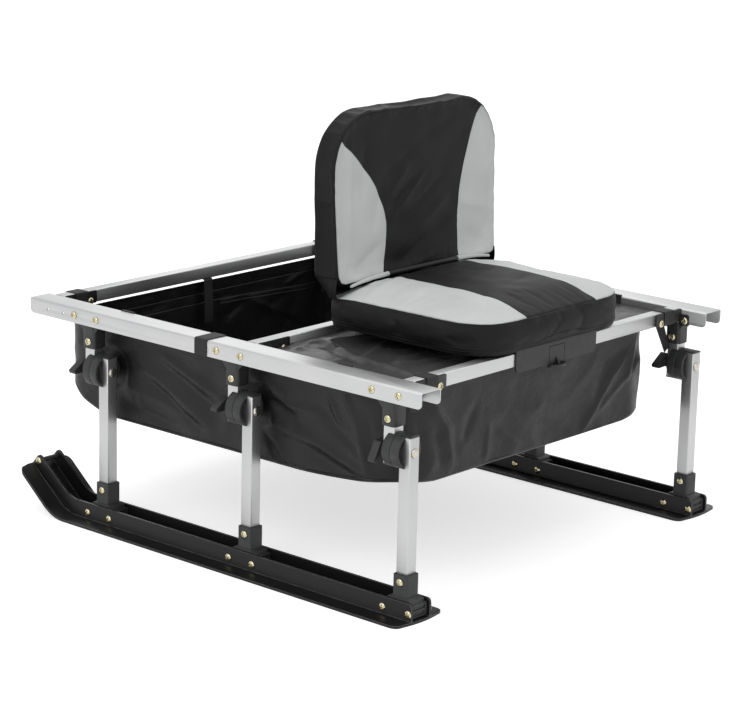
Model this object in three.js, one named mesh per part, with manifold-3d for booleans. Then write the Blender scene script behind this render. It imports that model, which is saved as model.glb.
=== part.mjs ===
// Ice fishing sled: two rails on folding legs and skis, with a fabric cargo tub and a folding seat
import * as THREE from 'three';
import { mergeVertices } from 'three/addons/utils/BufferGeometryUtils.js';
import Module from 'manifold-3d';

const wasm = await Module();
wasm.setup();

// Driving dimensions in millimetres. The ski tips point along -X, left is -Y, and the ground is z = 0
const gap = 0.3;
const overrun = 2;

const railLength = 1000;
const railSpacing = 861;
const railTop = 422;
const railWidth = 52;
const railHeight = 30;
const railWall = 2;
const railEdgeRadius = 4;
const railEndRadius = 9;
const railHoleRadius = 2.5;
const railHoleInsets = [49.5, 92.6];
const railHoleDrop = 16;

const tubeSide = 25.4;
const tubeWall = 1.6;
const frontTubeInset = 27;
const middleTubePlace = 50;
const rearTubeInset = 73;
const bracketThickness = 3;
const bracketReach = 84;
const bracketFootLength = 22;
const bracketFootBottom = 389;
const bracketFootTop = 411;

const frontStationInset = 154.2;
const middleStationBack = 12.4;
const rearStationBack = 10;
const pivotDrop = 118.5;
const knuckleRadius = 32.3;
const knuckleInnerRadius = 27;
const knuckleWeb = 5.5;
const knuckleCapWidth = 25;
const boltRadius = 5;
const boltHeadRadius = 10.5;
const boltHeadHeight = 3.8;
const leverHubRadius = 13;
const leverWidth = 16;
const leverOutline = [[-10, 18], [-42, -3], [-38, -9], [-15, -8]];
const leverRootShares = [[0.1, 0.9], [-0.6, -0.75]];
const droppedLeverTurn = 28;

const socketSide = 33;
const socketCornerRadius = 8;
const socketKnuckleGap = 9.2;
const socketFlareBottom = 376;
const socketFlareReach = 14;
const socketBlockLength = 85;
const stubEnd = 390.6;

const legBottom = 12;
const skiSocketBase = 41;
const skiSocketTop = 81;
const skiSocketCornerRadius = 4;
const skiBlockLength = 64;
const skiBlockTop = 37;

const skiWidth = 130;
const skiBase = 5;
const skiWebSpacing = 54.4;
const skiWeb = 4.5;
const skiWebTop = 37.5;
const skiWebTipHeight = 34;
const skiTailInset = 5;
const skiWebTailInset = 3;
const skiBendInset = 118;
const skiBendRadius = 50;
const skiBendAngle = 39.5;
const skiRampLength = 111.5;
const skiTailRadius = 18;
const skiTipRadius = 14;
const skiEndBow = 5;
const skiWebRadius = 10;
const tipSpacerRadius = 5;
const tipSpacerBack = 9;
const tipSpacerRise = 21;

const tubFrontReach = 2;
const tubRearInset = 25;
const tubKnuckleGap = 1;
const tubTop = 388;
const tubBottom = 200;
const tubWall = 3.5;
const tubFrontRadius = 52;
const tubRearRadius = 105;
const tubEdgeRadius = 28;
const tubDraft = 8;
const frontHangerInset = 222;
const rearHangerInset = 220.5;
const hangerWidth = 33;
const hangerStrap = 1.5;
const hangerRoot = 372;
const hangerBend = 384;
const hangerHook = 395;

const coverBottom = 404;
const coverThickness = 3;
const coverSideGap = 4.5;
const coverEdgeGap = 0.5;

const cushionFrontReach = 30;
const cushionBackInset = 10;
const cushionHalfWidth = 233;
const cushionSideHeight = 61;
const cushionCrown = 22;
const cushionFrontRadius = 95;
const cushionBackRadius = 45;
const cushionBulge = 4;
const cushionBackDrop = 6;
const cushionCells = [18, 12, 4];

const clipHalfWidth = 122;
const clipThickness = 3.5;
const clipRise = 5.7;
const clipFlangeBottom = 385;
const clipLipBottom = 410;
const clipPlateReach = 40;
const clipCornerRadius = 10;
const latchHalfWidth = 22.5;
const latchSlot = 1;
const latchTop = 418;
const latchBottom = 378;
const latchLedge = 14;
const latchLedgeTop = 384;
const latchLedgeBottom = 379;
const latchHookReach = 4;
const latchHookDepth = 4;

const backBackReach = 8;
const backThickness = 65;
const backLean = 16;
const backSeamGap = 21;
const backHeight = 326;
const backHalfWidth = 236;
const backTopRadius = 85;
const backBottomRadius = 30;
const backCrown = 5;
const backTaper = 14;
const backCells = [4, 14, 12];
const hingeRodRadius = 5;
const hingeRodHalfLength = 205;

// Facet counts
const arcSteps = 3;
const tubArcSteps = 6;
const tubEdgeSteps = 4;
const knuckleSteps = 24;
const boreSteps = 10;
const hubSteps = 16;

// Sizes that follow from the driving ones
const half = 1 / 2;
const railEnd = railLength * half;
const railHolePlaces = railHoleInsets.map((inset) => inset - railEnd);
const crossTubePlaces = {
  front: frontTubeInset - railEnd,
  middle: middleTubePlace,
  rear: railEnd - rearTubeInset,
};
const stationPlaces = {
  front: frontStationInset - railEnd,
  middle: crossTubePlaces.middle - middleStationBack,
  rear: crossTubePlaces.rear - rearStationBack,
};
const sideY = railSpacing * half;
const railBottom = railTop - railHeight;
const flangeFace = sideY - railWidth * half;
const tubeHalf = tubeSide * half;
const boreHalf = tubeHalf + gap;
const webFace = gap * half + knuckleWeb;
const seamToLeg = webFace + gap + tubeHalf;
const legOuterFace = seamToLeg + tubeHalf;
const pivotHeight = railTop - pivotDrop;
const socketBottom = pivotHeight + knuckleRadius + socketKnuckleGap;
const legTop = pivotHeight + knuckleInnerRadius + gap;
const stubBottom = pivotHeight - knuckleInnerRadius - gap;
const tubeTop = railTop;
const tubeBottom = railTop - tubeSide;
const skiTail = railEnd - skiTailInset;
const skiWebTail = skiTail - skiWebTailInset;
const skiBendStart = skiBendInset - railEnd;
const tubFront = crossTubePlaces.front - tubFrontReach;
const tubRear = crossTubePlaces.rear - tubRearInset;
const tubHalfWidth = sideY - knuckleRadius - tubKnuckleGap;
const hangerPlaces = [frontHangerInset - railEnd, railEnd - rearHangerInset];
const coverHalfWidth = flangeFace - coverSideGap;
const cushionFront = crossTubePlaces.rear + cushionFrontReach;
const cushionBack = crossTubePlaces.middle + cushionBackInset;
const backBack = crossTubePlaces.middle - backBackReach;
const clipTop = railTop + clipRise;
const cushionBottom = clipTop + gap;
const cushionSeam = cushionBottom + cushionSideHeight;
const backBottom = cushionSeam + backSeamGap;
const backTop = backBottom + backHeight;
const sides = { left: -1, right: 1 };

// Colours, as on the real sled
const finishes = {
  aluminium: new THREE.MeshStandardMaterial({ color: 0xc9cbcc, metalness: 0.7, roughness: 0.35 }),
  plastic: new THREE.MeshStandardMaterial({ color: 0x3c3d3f, roughness: 0.6 }),
  ski: new THREE.MeshStandardMaterial({ color: 0x222224, roughness: 0.45 }),
  steel: new THREE.MeshStandardMaterial({ color: 0x8c8c7c, metalness: 0.8, roughness: 0.4 }),
  tub: new THREE.MeshStandardMaterial({ color: 0x262627, roughness: 0.8 }),
  cover: new THREE.MeshStandardMaterial({ color: 0x37383a, roughness: 0.8 }),
  cushion: new THREE.MeshStandardMaterial({ color: 0x2c2c2e, roughness: 0.85 }),
};

const sled = new THREE.Group();
const axisX = new THREE.Vector3(1, 0, 0);
const axisY = new THREE.Vector3(0, 1, 0);
const axisZ = new THREE.Vector3(0, 0, 1);

function addPiece(name, geometry, finish, x = 0, y = 0, z = 0) {
  const mesh = new THREE.Mesh(geometry, finishes[finish]);
  mesh.name = name;
  mesh.position.set(x, y, z);
  sled.add(mesh);
}

function withMergedPoints(geometry) {
  const bare = geometry.clone();
  bare.deleteAttribute('normal');
  bare.deleteAttribute('uv');
  return mergeVertices(bare);
}

function solidOf(geometry) {
  const merged = withMergedPoints(geometry);
  const vertProperties = new Float32Array(merged.attributes.position.array);
  const triVerts = new Uint32Array(merged.index.array);
  return new wasm.Manifold(new wasm.Mesh({ numProp: 3, vertProperties, triVerts }));
}

function geometryOf(solid) {
  const mesh = solid.getMesh();
  const geometry = new THREE.BufferGeometry();
  geometry.setAttribute('position', new THREE.BufferAttribute(mesh.vertProperties, 3));
  geometry.setIndex(new THREE.BufferAttribute(mesh.triVerts, 1));
  geometry.computeVertexNormals();
  return geometry;
}

function joined(...geometries) {
  return geometryOf(geometries.map(solidOf).reduce((whole, next) => whole.add(next)));
}

function cut(body, ...tools) {
  return geometryOf(tools.map(solidOf).reduce((rest, tool) => rest.subtract(tool), solidOf(body)));
}

function common(first, second) {
  return geometryOf(solidOf(first).intersect(solidOf(second)));
}

function block(x0, x1, y0, y1, z0, z1) {
  const box = new THREE.BoxGeometry(x1 - x0, y1 - y0, z1 - z0);
  return box.translate((x0 + x1) * half, (y0 + y1) * half, (z0 + z1) * half);
}

function outlineOf(points) {
  return new THREE.Shape(points.map(([a, b]) => new THREE.Vector2(a, b)));
}

function extruded(shape, depth, curveSegments = arcSteps) {
  return new THREE.ExtrudeGeometry(shape, { depth, bevelEnabled: false, curveSegments });
}

// An outline in x and z, centred on its thickness along Y
function slab(shape, thickness, curveSegments) {
  const plate = extruded(shape, thickness, curveSegments);
  return plate.rotateX(Math.PI * half).translate(0, thickness * half, 0);
}

// An outline in y and z, run along X from x = 0
function bar(shape, length, curveSegments) {
  const turn = new THREE.Matrix4().makeBasis(axisY, axisZ, axisX);
  return extruded(shape, length, curveSegments).applyMatrix4(turn);
}

function rodAlongX(radius, x0, x1, steps) {
  const rod = new THREE.CylinderGeometry(radius, radius, x1 - x0, steps).rotateZ(Math.PI * half);
  return rod.translate((x0 + x1) * half, 0, 0);
}

function rodAlongY(radius, length, steps) {
  return new THREE.CylinderGeometry(radius, radius, length, steps);
}

function roundedRectangle(x0, x1, y0, y1, radius) {
  const shape = new THREE.Shape();
  shape.absarc(x1 - radius, y1 - radius, radius, 0, Math.PI * half);
  shape.absarc(x0 + radius, y1 - radius, radius, Math.PI * half, Math.PI);
  shape.absarc(x0 + radius, y0 + radius, radius, Math.PI, -Math.PI * half);
  shape.absarc(x1 - radius, y0 + radius, radius, -Math.PI * half, 0);
  return shape;
}

function squareTubeSection() {
  const outer = tubeHalf;
  const inner = tubeHalf - tubeWall;
  const section = outlineOf([[-outer, -outer], [outer, -outer], [outer, outer], [-outer, outer]]);
  section.holes.push(outlineOf([[-inner, -inner], [-inner, inner], [inner, inner], [inner, -inner]]));
  return section;
}

function rotatedAboutX(geometry, degrees) {
  return geometry.rotateX(THREE.MathUtils.degToRad(degrees));
}

// Rails

function railSection() {
  const outer = railWidth * half;
  const inner = outer - railWall;
  const innerRadius = railEdgeRadius - railWall;
  const shape = new THREE.Shape();
  shape.moveTo(inner, -railHeight);
  shape.lineTo(outer, -railHeight);
  shape.absarc(outer - railEdgeRadius, -railEdgeRadius, railEdgeRadius, 0, Math.PI * half);
  shape.absarc(railEdgeRadius - outer, -railEdgeRadius, railEdgeRadius, Math.PI * half, Math.PI);
  shape.lineTo(-outer, -railHeight);
  shape.lineTo(-inner, -railHeight);
  shape.absarc(innerRadius - inner, -railWall - innerRadius, innerRadius, Math.PI, Math.PI * half, true);
  shape.absarc(inner - innerRadius, -railWall - innerRadius, innerRadius, Math.PI * half, 0, true);
  return shape;
}

function railSideOutline() {
  const shape = new THREE.Shape();
  shape.moveTo(railEnd, 0);
  shape.lineTo(-railEnd, 0);
  const height = railEndRadius - railHeight;
  shape.absarc(railEndRadius - railEnd, height, railEndRadius, Math.PI, Math.PI * 3 * half);
  shape.absarc(railEnd - railEndRadius, height, railEndRadius, -Math.PI * half, 0);
  return shape;
}

function hangerSlot(place, side) {
  const reach = hangerWidth * half + gap;
  const near = flangeFace + railWall + gap - sideY;
  const far = near + hangerStrap + gap + gap;
  const [y0, y1] = side > 0 ? [near, far] : [-far, -near];
  return block(place - reach, place + reach, y0, y1, -railWall - overrun, overrun);
}

function flangeHole(place, side) {
  const drill = rodAlongY(railHoleRadius, railWall + overrun, boreSteps);
  return drill.translate(place, side * (railWidth - railWall) * half, -railHoleDrop);
}

function rail(side) {
  const channel = bar(railSection(), railLength).translate(-railEnd, 0, 0);
  const rounded = common(channel, slab(railSideOutline(), railWidth + overrun));
  const slots = hangerPlaces.map((place) => hangerSlot(place, side));
  const holes = railHolePlaces.map((place) => flangeHole(place, side));
  return cut(rounded, ...slots, ...holes);
}

for (const [name, side] of Object.entries(sides)) {
  addPiece(`${name}_rail`, rail(side), 'aluminium', 0, side * sideY, railTop);
}

// Cross tubes with the angle brackets that hold their ends to the rails

function endBracket() {
  const outer = flangeFace - gap;
  const inner = flangeFace - bracketReach;
  const start = tubeHalf - tubeWall * half;
  const arm = block(start, tubeHalf + bracketThickness, inner, outer, tubeBottom, tubeTop);
  const footEnd = tubeHalf + bracketFootLength;
  const footFace = outer - bracketThickness;
  const foot = block(tubeHalf, footEnd, footFace, outer, bracketFootBottom, bracketFootTop);
  return joined(arm, foot);
}

function mirroredInY(geometry) {
  const mirrored = geometry.clone().scale(1, -1, 1);
  const index = mirrored.index.array;
  for (let corner = 0; corner < index.length; corner += 3) {
    [index[corner], index[corner + 1]] = [index[corner + 1], index[corner]];
  }
  return mirrored;
}

function crossTube() {
  const length = (flangeFace - gap) * 2;
  const tube = slab(squareTubeSection(), length).translate(0, 0, tubeTop - tubeHalf);
  const bracket = endBracket();
  return joined(tube, bracket, mirroredInY(bracket));
}

for (const [name, place] of Object.entries(crossTubePlaces)) {
  addPiece(`${name}_cross_tube`, crossTube(), 'aluminium', place, 0, 0);
}

// Upper sockets, which hang from the rails and hold the short upper legs

function upperSocket() {
  const reach = socketSide * half;
  const blockReach = socketBlockLength * half;
  const blockHalfWidth = railWidth * half - railWall - gap;
  const blockTop = railTop - railWall - gap;
  const sleeveOutline = roundedRectangle(-reach, reach, -reach, reach, socketCornerRadius);
  const sleeve = extruded(sleeveOutline, blockTop - socketBottom).translate(0, 0, socketBottom);
  const flare = slab(
    outlineOf([
      [-reach + gap, socketFlareBottom],
      [reach - gap, socketFlareBottom],
      [reach + socketFlareReach, railBottom],
      [blockReach, railBottom + gap],
      [blockReach, railBottom + railWall],
      [-blockReach, railBottom + railWall],
      [-blockReach, railBottom + gap],
      [-reach - socketFlareReach, railBottom],
    ]),
    socketSide - socketCornerRadius,
  );
  const headOutline = roundedRectangle(
    -blockHalfWidth, blockHalfWidth, railBottom + gap, blockTop, railEdgeRadius,
  );
  const head = bar(headOutline, socketBlockLength).translate(-blockReach, 0, 0);
  const bore = block(-boreHalf, boreHalf, -boreHalf, boreHalf, socketBottom - overrun, stubEnd + gap);
  return cut(joined(sleeve, flare, head), bore);
}

function boltBore(x0, x1) {
  return rodAlongX(boltRadius + gap, x0, x1, boreSteps).translate(0, 0, pivotHeight);
}

function upperLeg() {
  const tube = extruded(squareTubeSection(), stubEnd - stubBottom).translate(0, 0, stubBottom);
  return cut(tube, boltBore(-tubeSide, tubeSide));
}

function lowerLeg() {
  const tube = extruded(squareTubeSection(), legTop - legBottom).translate(0, 0, legBottom);
  return cut(tube, boltBore(-tubeSide, tubeSide));
}

// Half of the round clamp joint, with the seam at x = 0 and the leg running down from it
function knuckleHalf() {
  const web = rodAlongX(knuckleRadius, gap * half, webFace, knuckleSteps);
  const rim = cut(
    rodAlongX(knuckleRadius, webFace - gap, seamToLeg, knuckleSteps),
    rodAlongX(knuckleInnerRadius, webFace - overrun, seamToLeg + overrun, knuckleSteps),
  );
  const capHalf = knuckleCapWidth * half;
  const cap = common(
    rodAlongX(knuckleRadius, webFace - gap, legOuterFace, knuckleSteps),
    block(0, legOuterFace, -capHalf, capHalf, knuckleInnerRadius * half, knuckleRadius),
  );
  const pocketTop = knuckleInnerRadius + gap + gap;
  const legPocket = block(
    webFace, legOuterFace + overrun, -boreHalf, boreHalf, -knuckleRadius - overrun, pocketTop,
  );
  const bore = rodAlongX(boltRadius + gap, -overrun, webFace + overrun, boreSteps);
  return cut(joined(web, rim, cap), legPocket, bore);
}

function clampLever(direction, turn) {
  const shankEnd = legOuterFace + gap + boltHeadHeight * half;
  const hubEnd = -legOuterFace - gap;
  const shank = rodAlongX(boltRadius, hubEnd - overrun, shankEnd, boreSteps);
  const domeFoot = boltHeadHeight * half;
  const domeProfile = [
    [0, 0],
    [boltHeadRadius, 0],
    [boltHeadRadius, domeFoot],
    [boltRadius, boltHeadHeight],
    [0, boltHeadHeight],
  ].map(([radius, height]) => new THREE.Vector2(radius, height));
  const dome = new THREE.LatheGeometry(domeProfile, hubSteps)
    .rotateZ(-Math.PI * half)
    .translate(legOuterFace + gap, 0, 0);
  const hub = rodAlongX(leverHubRadius, hubEnd - leverWidth, hubEnd, hubSteps);
  const root = leverRootShares.map(([y, z]) => [y * leverHubRadius, z * leverHubRadius]);
  const points = [root[0], ...leverOutline, root[1]].map(([y, z]) => [-direction * y, z]);
  const wing = bar(outlineOf(points), leverWidth).translate(hubEnd - leverWidth, 0, 0);
  return rotatedAboutX(joined(shank, dome, hub, wing), turn);
}

// Every lever points outward but the one at the right rear, and the left rear one hangs lower
function leverDirection(sideName, stationName) {
  return sideName === 'right' && stationName !== 'rear' ? 1 : -1;
}

function leverTurn(sideName, stationName) {
  return sideName === 'left' && stationName === 'rear' ? droppedLeverTurn : 0;
}

// Ski sockets, which stand between a ski's webs and hold the long lower legs

function skiSocket() {
  const reach = socketSide * half;
  const blockHalfWidth = skiWebSpacing * half - skiWeb - gap;
  const blockReach = skiBlockLength * half;
  const sleeveOutline = roundedRectangle(-reach, reach, -reach, reach, skiSocketCornerRadius);
  const sleeve = extruded(sleeveOutline, skiSocketTop - skiBlockTop + overrun)
    .translate(0, 0, skiBlockTop - overrun);
  const base = block(-blockReach, blockReach, -blockHalfWidth, blockHalfWidth, skiBase + gap, skiBlockTop);
  const shoulder = slab(
    outlineOf([
      [-blockReach, skiBlockTop - overrun],
      [blockReach, skiBlockTop - overrun],
      [blockReach, skiBlockTop],
      [reach, skiSocketBase],
      [-reach, skiSocketBase],
      [-blockReach, skiBlockTop],
    ]),
    socketSide - skiSocketCornerRadius,
  );
  const bore = block(-boreHalf, boreHalf, -boreHalf, boreHalf, legBottom - gap, skiSocketTop + overrun);
  return cut(joined(sleeve, base, shoulder), bore);
}

for (const [sideName, side] of Object.entries(sides)) {
  for (const [stationName, place] of Object.entries(stationPlaces)) {
    const label = `${sideName}_${stationName}`;
    const y = side * sideY;
    const seam = place + seamToLeg;
    const legPlace = seam + seamToLeg;
    const leverPlace = [sideName, stationName];
    const lever = clampLever(leverDirection(...leverPlace), leverTurn(...leverPlace));
    addPiece(`${label}_upper_socket`, upperSocket(), 'plastic', place, y);
    addPiece(`${label}_upper_leg`, upperLeg(), 'aluminium', place, y);
    addPiece(`${label}_upper_knuckle`, knuckleHalf().rotateY(Math.PI), 'plastic', seam, y, pivotHeight);
    addPiece(`${label}_lower_knuckle`, knuckleHalf(), 'plastic', seam, y, pivotHeight);
    addPiece(`${label}_lower_leg`, lowerLeg(), 'aluminium', legPlace, y);
    addPiece(`${label}_ski_socket`, skiSocket(), 'plastic', legPlace, y);
    addPiece(`${label}_clamp_lever`, lever, 'plastic', seam, y, pivotHeight);
  }
}

// Skis, with a wide sole, two upright webs and a turned-up tip

const bendTurn = THREE.MathUtils.degToRad(skiBendAngle);

// A point on the ramp, from its distance along the ramp and its height above the sole
function rampPoint(along, height) {
  const radius = skiBendRadius - height;
  const x = skiBendStart - radius * Math.sin(bendTurn) - along * Math.cos(bendTurn);
  const z = skiBendRadius - radius * Math.cos(bendTurn) + along * Math.sin(bendTurn);
  return [x, z];
}

function skiBend(shape, height, backwards) {
  const start = -Math.PI * half;
  const [from, to] = backwards ? [start - bendTurn, start] : [start, start - bendTurn];
  shape.absarc(skiBendStart, skiBendRadius, skiBendRadius - height, from, to, !backwards);
}

function skiSoleOutline() {
  const shape = new THREE.Shape();
  shape.moveTo(skiTail, skiBase);
  shape.lineTo(skiTail, 0);
  skiBend(shape, 0, false);
  shape.lineTo(...rampPoint(skiRampLength, 0));
  shape.lineTo(...rampPoint(skiRampLength, skiBase));
  skiBend(shape, skiBase, true);
  return shape;
}

// A ski's end seen from above, bowed out and with round corners: way is 1 at the tail, -1 at the tip
function addSkiEnd(shape, x, radius, way) {
  const reach = skiWidth * half;
  const edge = x - way * skiEndBow;
  shape.lineTo(edge - way * radius, -way * reach);
  shape.quadraticCurveTo(edge, -way * reach, edge, -way * (reach - radius));
  shape.quadraticCurveTo(x + way * skiEndBow, 0, edge, way * (reach - radius));
  shape.quadraticCurveTo(edge, way * reach, edge - way * radius, way * reach);
}

function skiPlanOutline() {
  const [tip] = rampPoint(skiRampLength, 0);
  const shape = new THREE.Shape();
  shape.moveTo(skiBendStart, -skiWidth * half);
  addSkiEnd(shape, skiTail, skiTailRadius, 1);
  addSkiEnd(shape, tip, skiTipRadius, -1);
  return shape;
}

function skiWebOutline() {
  const shape = new THREE.Shape();
  shape.moveTo(skiWebTail, skiWebTop - skiWebRadius);
  shape.lineTo(skiWebTail, skiBase * half);
  skiBend(shape, skiBase * half, false);
  shape.lineTo(...rampPoint(skiRampLength, skiBase * half));
  shape.lineTo(...rampPoint(skiRampLength, skiWebTipHeight - skiWebRadius));
  const ear = rampPoint(skiRampLength, skiWebTipHeight);
  shape.quadraticCurveTo(...ear, ...rampPoint(skiRampLength - skiWebRadius, skiWebTipHeight));
  skiBend(shape, skiWebTop, true);
  shape.lineTo(skiWebTail - skiWebRadius, skiWebTop);
  shape.quadraticCurveTo(skiWebTail, skiWebTop, skiWebTail, skiWebTop - skiWebRadius);
  return shape;
}

function ski() {
  const plan = extruded(skiPlanOutline(), skiBendRadius + skiRampLength).translate(0, 0, -overrun);
  const sole = common(slab(skiSoleOutline(), skiWidth + overrun), plan);
  const webs = [-1, 1].map((side) => {
    const centre = side * (skiWebSpacing - skiWeb) * half;
    return slab(skiWebOutline(), skiWeb).translate(0, centre, 0);
  });
  return joined(sole, ...webs);
}

function tipSpacer() {
  return rodAlongY(tipSpacerRadius, skiWebSpacing - skiWeb - skiWeb - gap - gap, boreSteps);
}

for (const [name, side] of Object.entries(sides)) {
  const [x, z] = rampPoint(skiRampLength - tipSpacerBack, tipSpacerRise);
  addPiece(`${name}_ski`, ski(), 'ski', 0, side * sideY);
  addPiece(`${name}_tip_spacer`, tipSpacer(), 'steel', x, side * sideY, z);
}

// Cargo tub, open at the top, with four straps that hook over the rails

// The tub seen from above, tighter in its front corners than in its rear ones
function tubOutline(inset) {
  const frontRadius = tubFrontRadius - inset;
  const rearRadius = tubRearRadius - inset;
  const front = tubFront + tubFrontRadius;
  const rear = tubRear - tubRearRadius;
  const frontSide = tubHalfWidth - tubFrontRadius;
  const rearSide = tubHalfWidth - tubRearRadius;
  const shape = new THREE.Shape();
  shape.absarc(rear, rearSide, rearRadius, 0, Math.PI * half);
  shape.absarc(front, frontSide, frontRadius, Math.PI * half, Math.PI);
  shape.absarc(front, -frontSide, frontRadius, Math.PI, -Math.PI * half);
  shape.absarc(rear, -rearSide, rearRadius, -Math.PI * half, 0);
  return shape;
}

function tubForm(inset) {
  const edge = tubEdgeRadius - inset;
  const bottom = tubBottom + inset;
  const form = new THREE.ExtrudeGeometry(tubOutline(inset), {
    depth: tubTop + overrun - bottom - edge,
    bevelThickness: edge,
    bevelSize: edge,
    bevelOffset: -edge,
    bevelSegments: tubEdgeSteps,
    curveSegments: tubArcSteps,
  }).translate(0, 0, bottom + edge);
  return withDraft(form);
}

// Draws the walls in towards the floor
function withDraft(geometry) {
  const points = geometry.attributes.position;
  const middle = (tubFront + tubRear) * half;
  const height = tubTop - tubBottom;
  for (let index = 0; index < points.count; index += 1) {
    const drop = (tubTop - points.getZ(index)) / height;
    const share = 1 - (tubDraft / tubHalfWidth) * drop;
    points.setX(index, middle + (points.getX(index) - middle) * share);
    points.setY(index, points.getY(index) * share);
  }
  return geometry;
}

function hanger(side) {
  const wallFace = tubHalfWidth - tubWall * half + hangerStrap * half;
  const flange = flangeFace - gap;
  const slot = flangeFace + railWall + gap + gap;
  const over = railTop + gap;
  const bend = railBottom + overrun;
  const points = [
    [wallFace - overrun * half, hangerRoot],
    [wallFace, hangerBend],
    [flange, bend],
    [flange, over],
    [slot, over],
    [slot, hangerHook],
    [slot + hangerStrap, hangerHook],
    [slot + hangerStrap, over + hangerStrap],
    [flange - hangerStrap, over + hangerStrap],
    [flange - hangerStrap, bend + hangerStrap],
    [wallFace - hangerStrap, hangerBend + hangerStrap],
    [wallFace - hangerStrap - overrun * half, hangerRoot],
  ];
  const strap = bar(outlineOf(points.map(([y, z]) => [side * y, z])), hangerWidth);
  return strap.translate(-hangerWidth * half, 0, 0);
}

function cargoTub() {
  const length = tubRear - tubFront + overrun;
  const middle = (tubFront + tubRear) * half;
  const above = block(
    middle - length, middle + length, -railSpacing, railSpacing, tubTop, tubTop + tubBottom,
  );
  const shell = cut(tubForm(0), tubForm(tubWall), above);
  const hangers = hangerPlaces.flatMap((place) => (
    Object.values(sides).map((side) => hanger(side).translate(place, 0, 0))
  ));
  return joined(shell, ...hangers);
}

addPiece('cargo_tub', cargoTub(), 'tub');

// Cover of the rear bay, between the middle and rear cross tubes and clear of the end brackets

function rearBayCover() {
  const front = crossTubePlaces.middle + tubeHalf + coverEdgeGap;
  const rear = crossTubePlaces.rear - tubeHalf - coverEdgeGap;
  const notch = front + bracketThickness + coverEdgeGap;
  const inner = flangeFace - bracketReach - coverEdgeGap;
  const outline = outlineOf([
    [front, -inner],
    [notch, -inner],
    [notch, -coverHalfWidth],
    [rear, -coverHalfWidth],
    [rear, coverHalfWidth],
    [notch, coverHalfWidth],
    [notch, inner],
    [front, inner],
  ]);
  return extruded(outline, coverThickness);
}

addPiece('rear_bay_cover', rearBayCover(), 'cover', 0, 0, coverBottom);

// Soft blocks, made from a box whose outline is drawn in to round corners

// How far a point moves towards the middle for the box's corner to become round
function cornerShare(x, y, reachX, reachY, radius) {
  const across = Math.abs(x);
  const along = Math.abs(y);
  const size = Math.max(across / reachX, along / reachY);
  if (size === 0) {
    return 1;
  }
  const centreX = reachX - radius;
  const centreY = reachY - radius;
  const edgeX = across / size;
  const edgeY = along / size;
  if (edgeX <= centreX || edgeY <= centreY) {
    return 1;
  }
  const squared = edgeX * edgeX + edgeY * edgeY;
  const towards = edgeX * centreX + edgeY * centreY;
  const rest = centreX * centreX + centreY * centreY - radius * radius;
  const share = (towards + Math.sqrt(towards * towards - squared * rest)) / squared;
  return share * edgeX > centreX && share * edgeY > centreY ? Math.min(share, 1) : 1;
}

function formed(geometry, rule) {
  const merged = withMergedPoints(geometry);
  const points = merged.attributes.position;
  for (let index = 0; index < points.count; index += 1) {
    points.setXYZ(index, ...rule(points.getX(index), points.getY(index), points.getZ(index)));
  }
  merged.computeVertexNormals();
  return merged;
}

function domeShare(share, power = 4) {
  return 1 - Math.abs(share) ** power;
}

// The cushion's top above its seam, which stays full towards the backrest and drops at the very end
function cushionRise(lengthShare, widthShare) {
  const crown = cushionCrown * domeShare(lengthShare, lengthShare > 0 ? 4 : 12) * domeShare(widthShare);
  const drop = lengthShare < 0 ? cushionBackDrop * lengthShare ** 6 : 0;
  return crown - drop;
}

const cushionMiddle = (cushionFront + cushionBack) * half;
const cushionReach = (cushionFront - cushionBack) * half - cushionBulge;

function seatCushion() {
  const reachY = cushionHalfWidth - cushionBulge;
  const box = new THREE.BoxGeometry(cushionReach * 2, reachY * 2, cushionSideHeight, ...cushionCells);
  return formed(box, (x, y, z) => {
    const radius = x > 0 ? cushionFrontRadius : cushionBackRadius;
    const share = cornerShare(x, y, cushionReach, reachY, radius);
    const lengthShare = x / cushionReach;
    const widthShare = y / reachY;
    const heightShare = z / (cushionSideHeight * half);
    const edge = Math.max(Math.abs(lengthShare), Math.abs(widthShare));
    const bulge = 1 + (cushionBulge / cushionReach) * (1 - heightShare ** 2) * edge;
    const lift = Math.max(heightShare, 0) ** 8 * cushionRise(lengthShare, widthShare);
    return [x * share * bulge, y * share * bulge, z + lift];
  });
}

const cushionLift = (cushionBottom + cushionSeam) * half;
addPiece('seat_cushion', seatCushion(), 'cushion', cushionMiddle, 0, cushionLift);

// Backrest, thicker at its foot, with a domed face and back

function backrest() {
  const reachZ = backHeight * half;
  const depth = backThickness * half;
  const box = new THREE.BoxGeometry(backThickness, backHalfWidth * 2, backHeight, ...backCells);
  return formed(box, (x, y, z) => {
    const radius = z > 0 ? backTopRadius : backBottomRadius;
    const share = cornerShare(y, z, backHalfWidth, reachZ, radius);
    const upShare = z / reachZ;
    const crown = backCrown * domeShare(y / backHalfWidth) * domeShare(upShare);
    const lean = backLean * Math.sqrt(Math.max(1 + upShare, 0) * half) * Math.max(x / depth, 0);
    const taper = z < 0 ? 1 + (backTaper / backHalfWidth) * upShare : 1;
    return [x + crown * Math.max(x / depth, 0) - lean, y * share * taper, z * share];
  });
}

const backMiddle = backBack + backThickness * half;
addPiece('backrest', backrest(), 'cushion', backMiddle, 0, (backBottom + backTop) * half);

const rodPlace = backBack + backThickness + gap + hingeRodRadius;
const rodSeat = cushionSeam + cushionRise((rodPlace - cushionMiddle) / cushionReach, 0);
const hingeRod = rodAlongY(hingeRodRadius, hingeRodHalfLength * 2, boreSteps);
addPiece('seat_hinge_rod', hingeRod, 'plastic', rodPlace, 0, rodSeat + gap + hingeRodRadius);

// Seat clips, which saddle a cross tube and carry the cushion, and the sprung latch of the rear one

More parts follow.
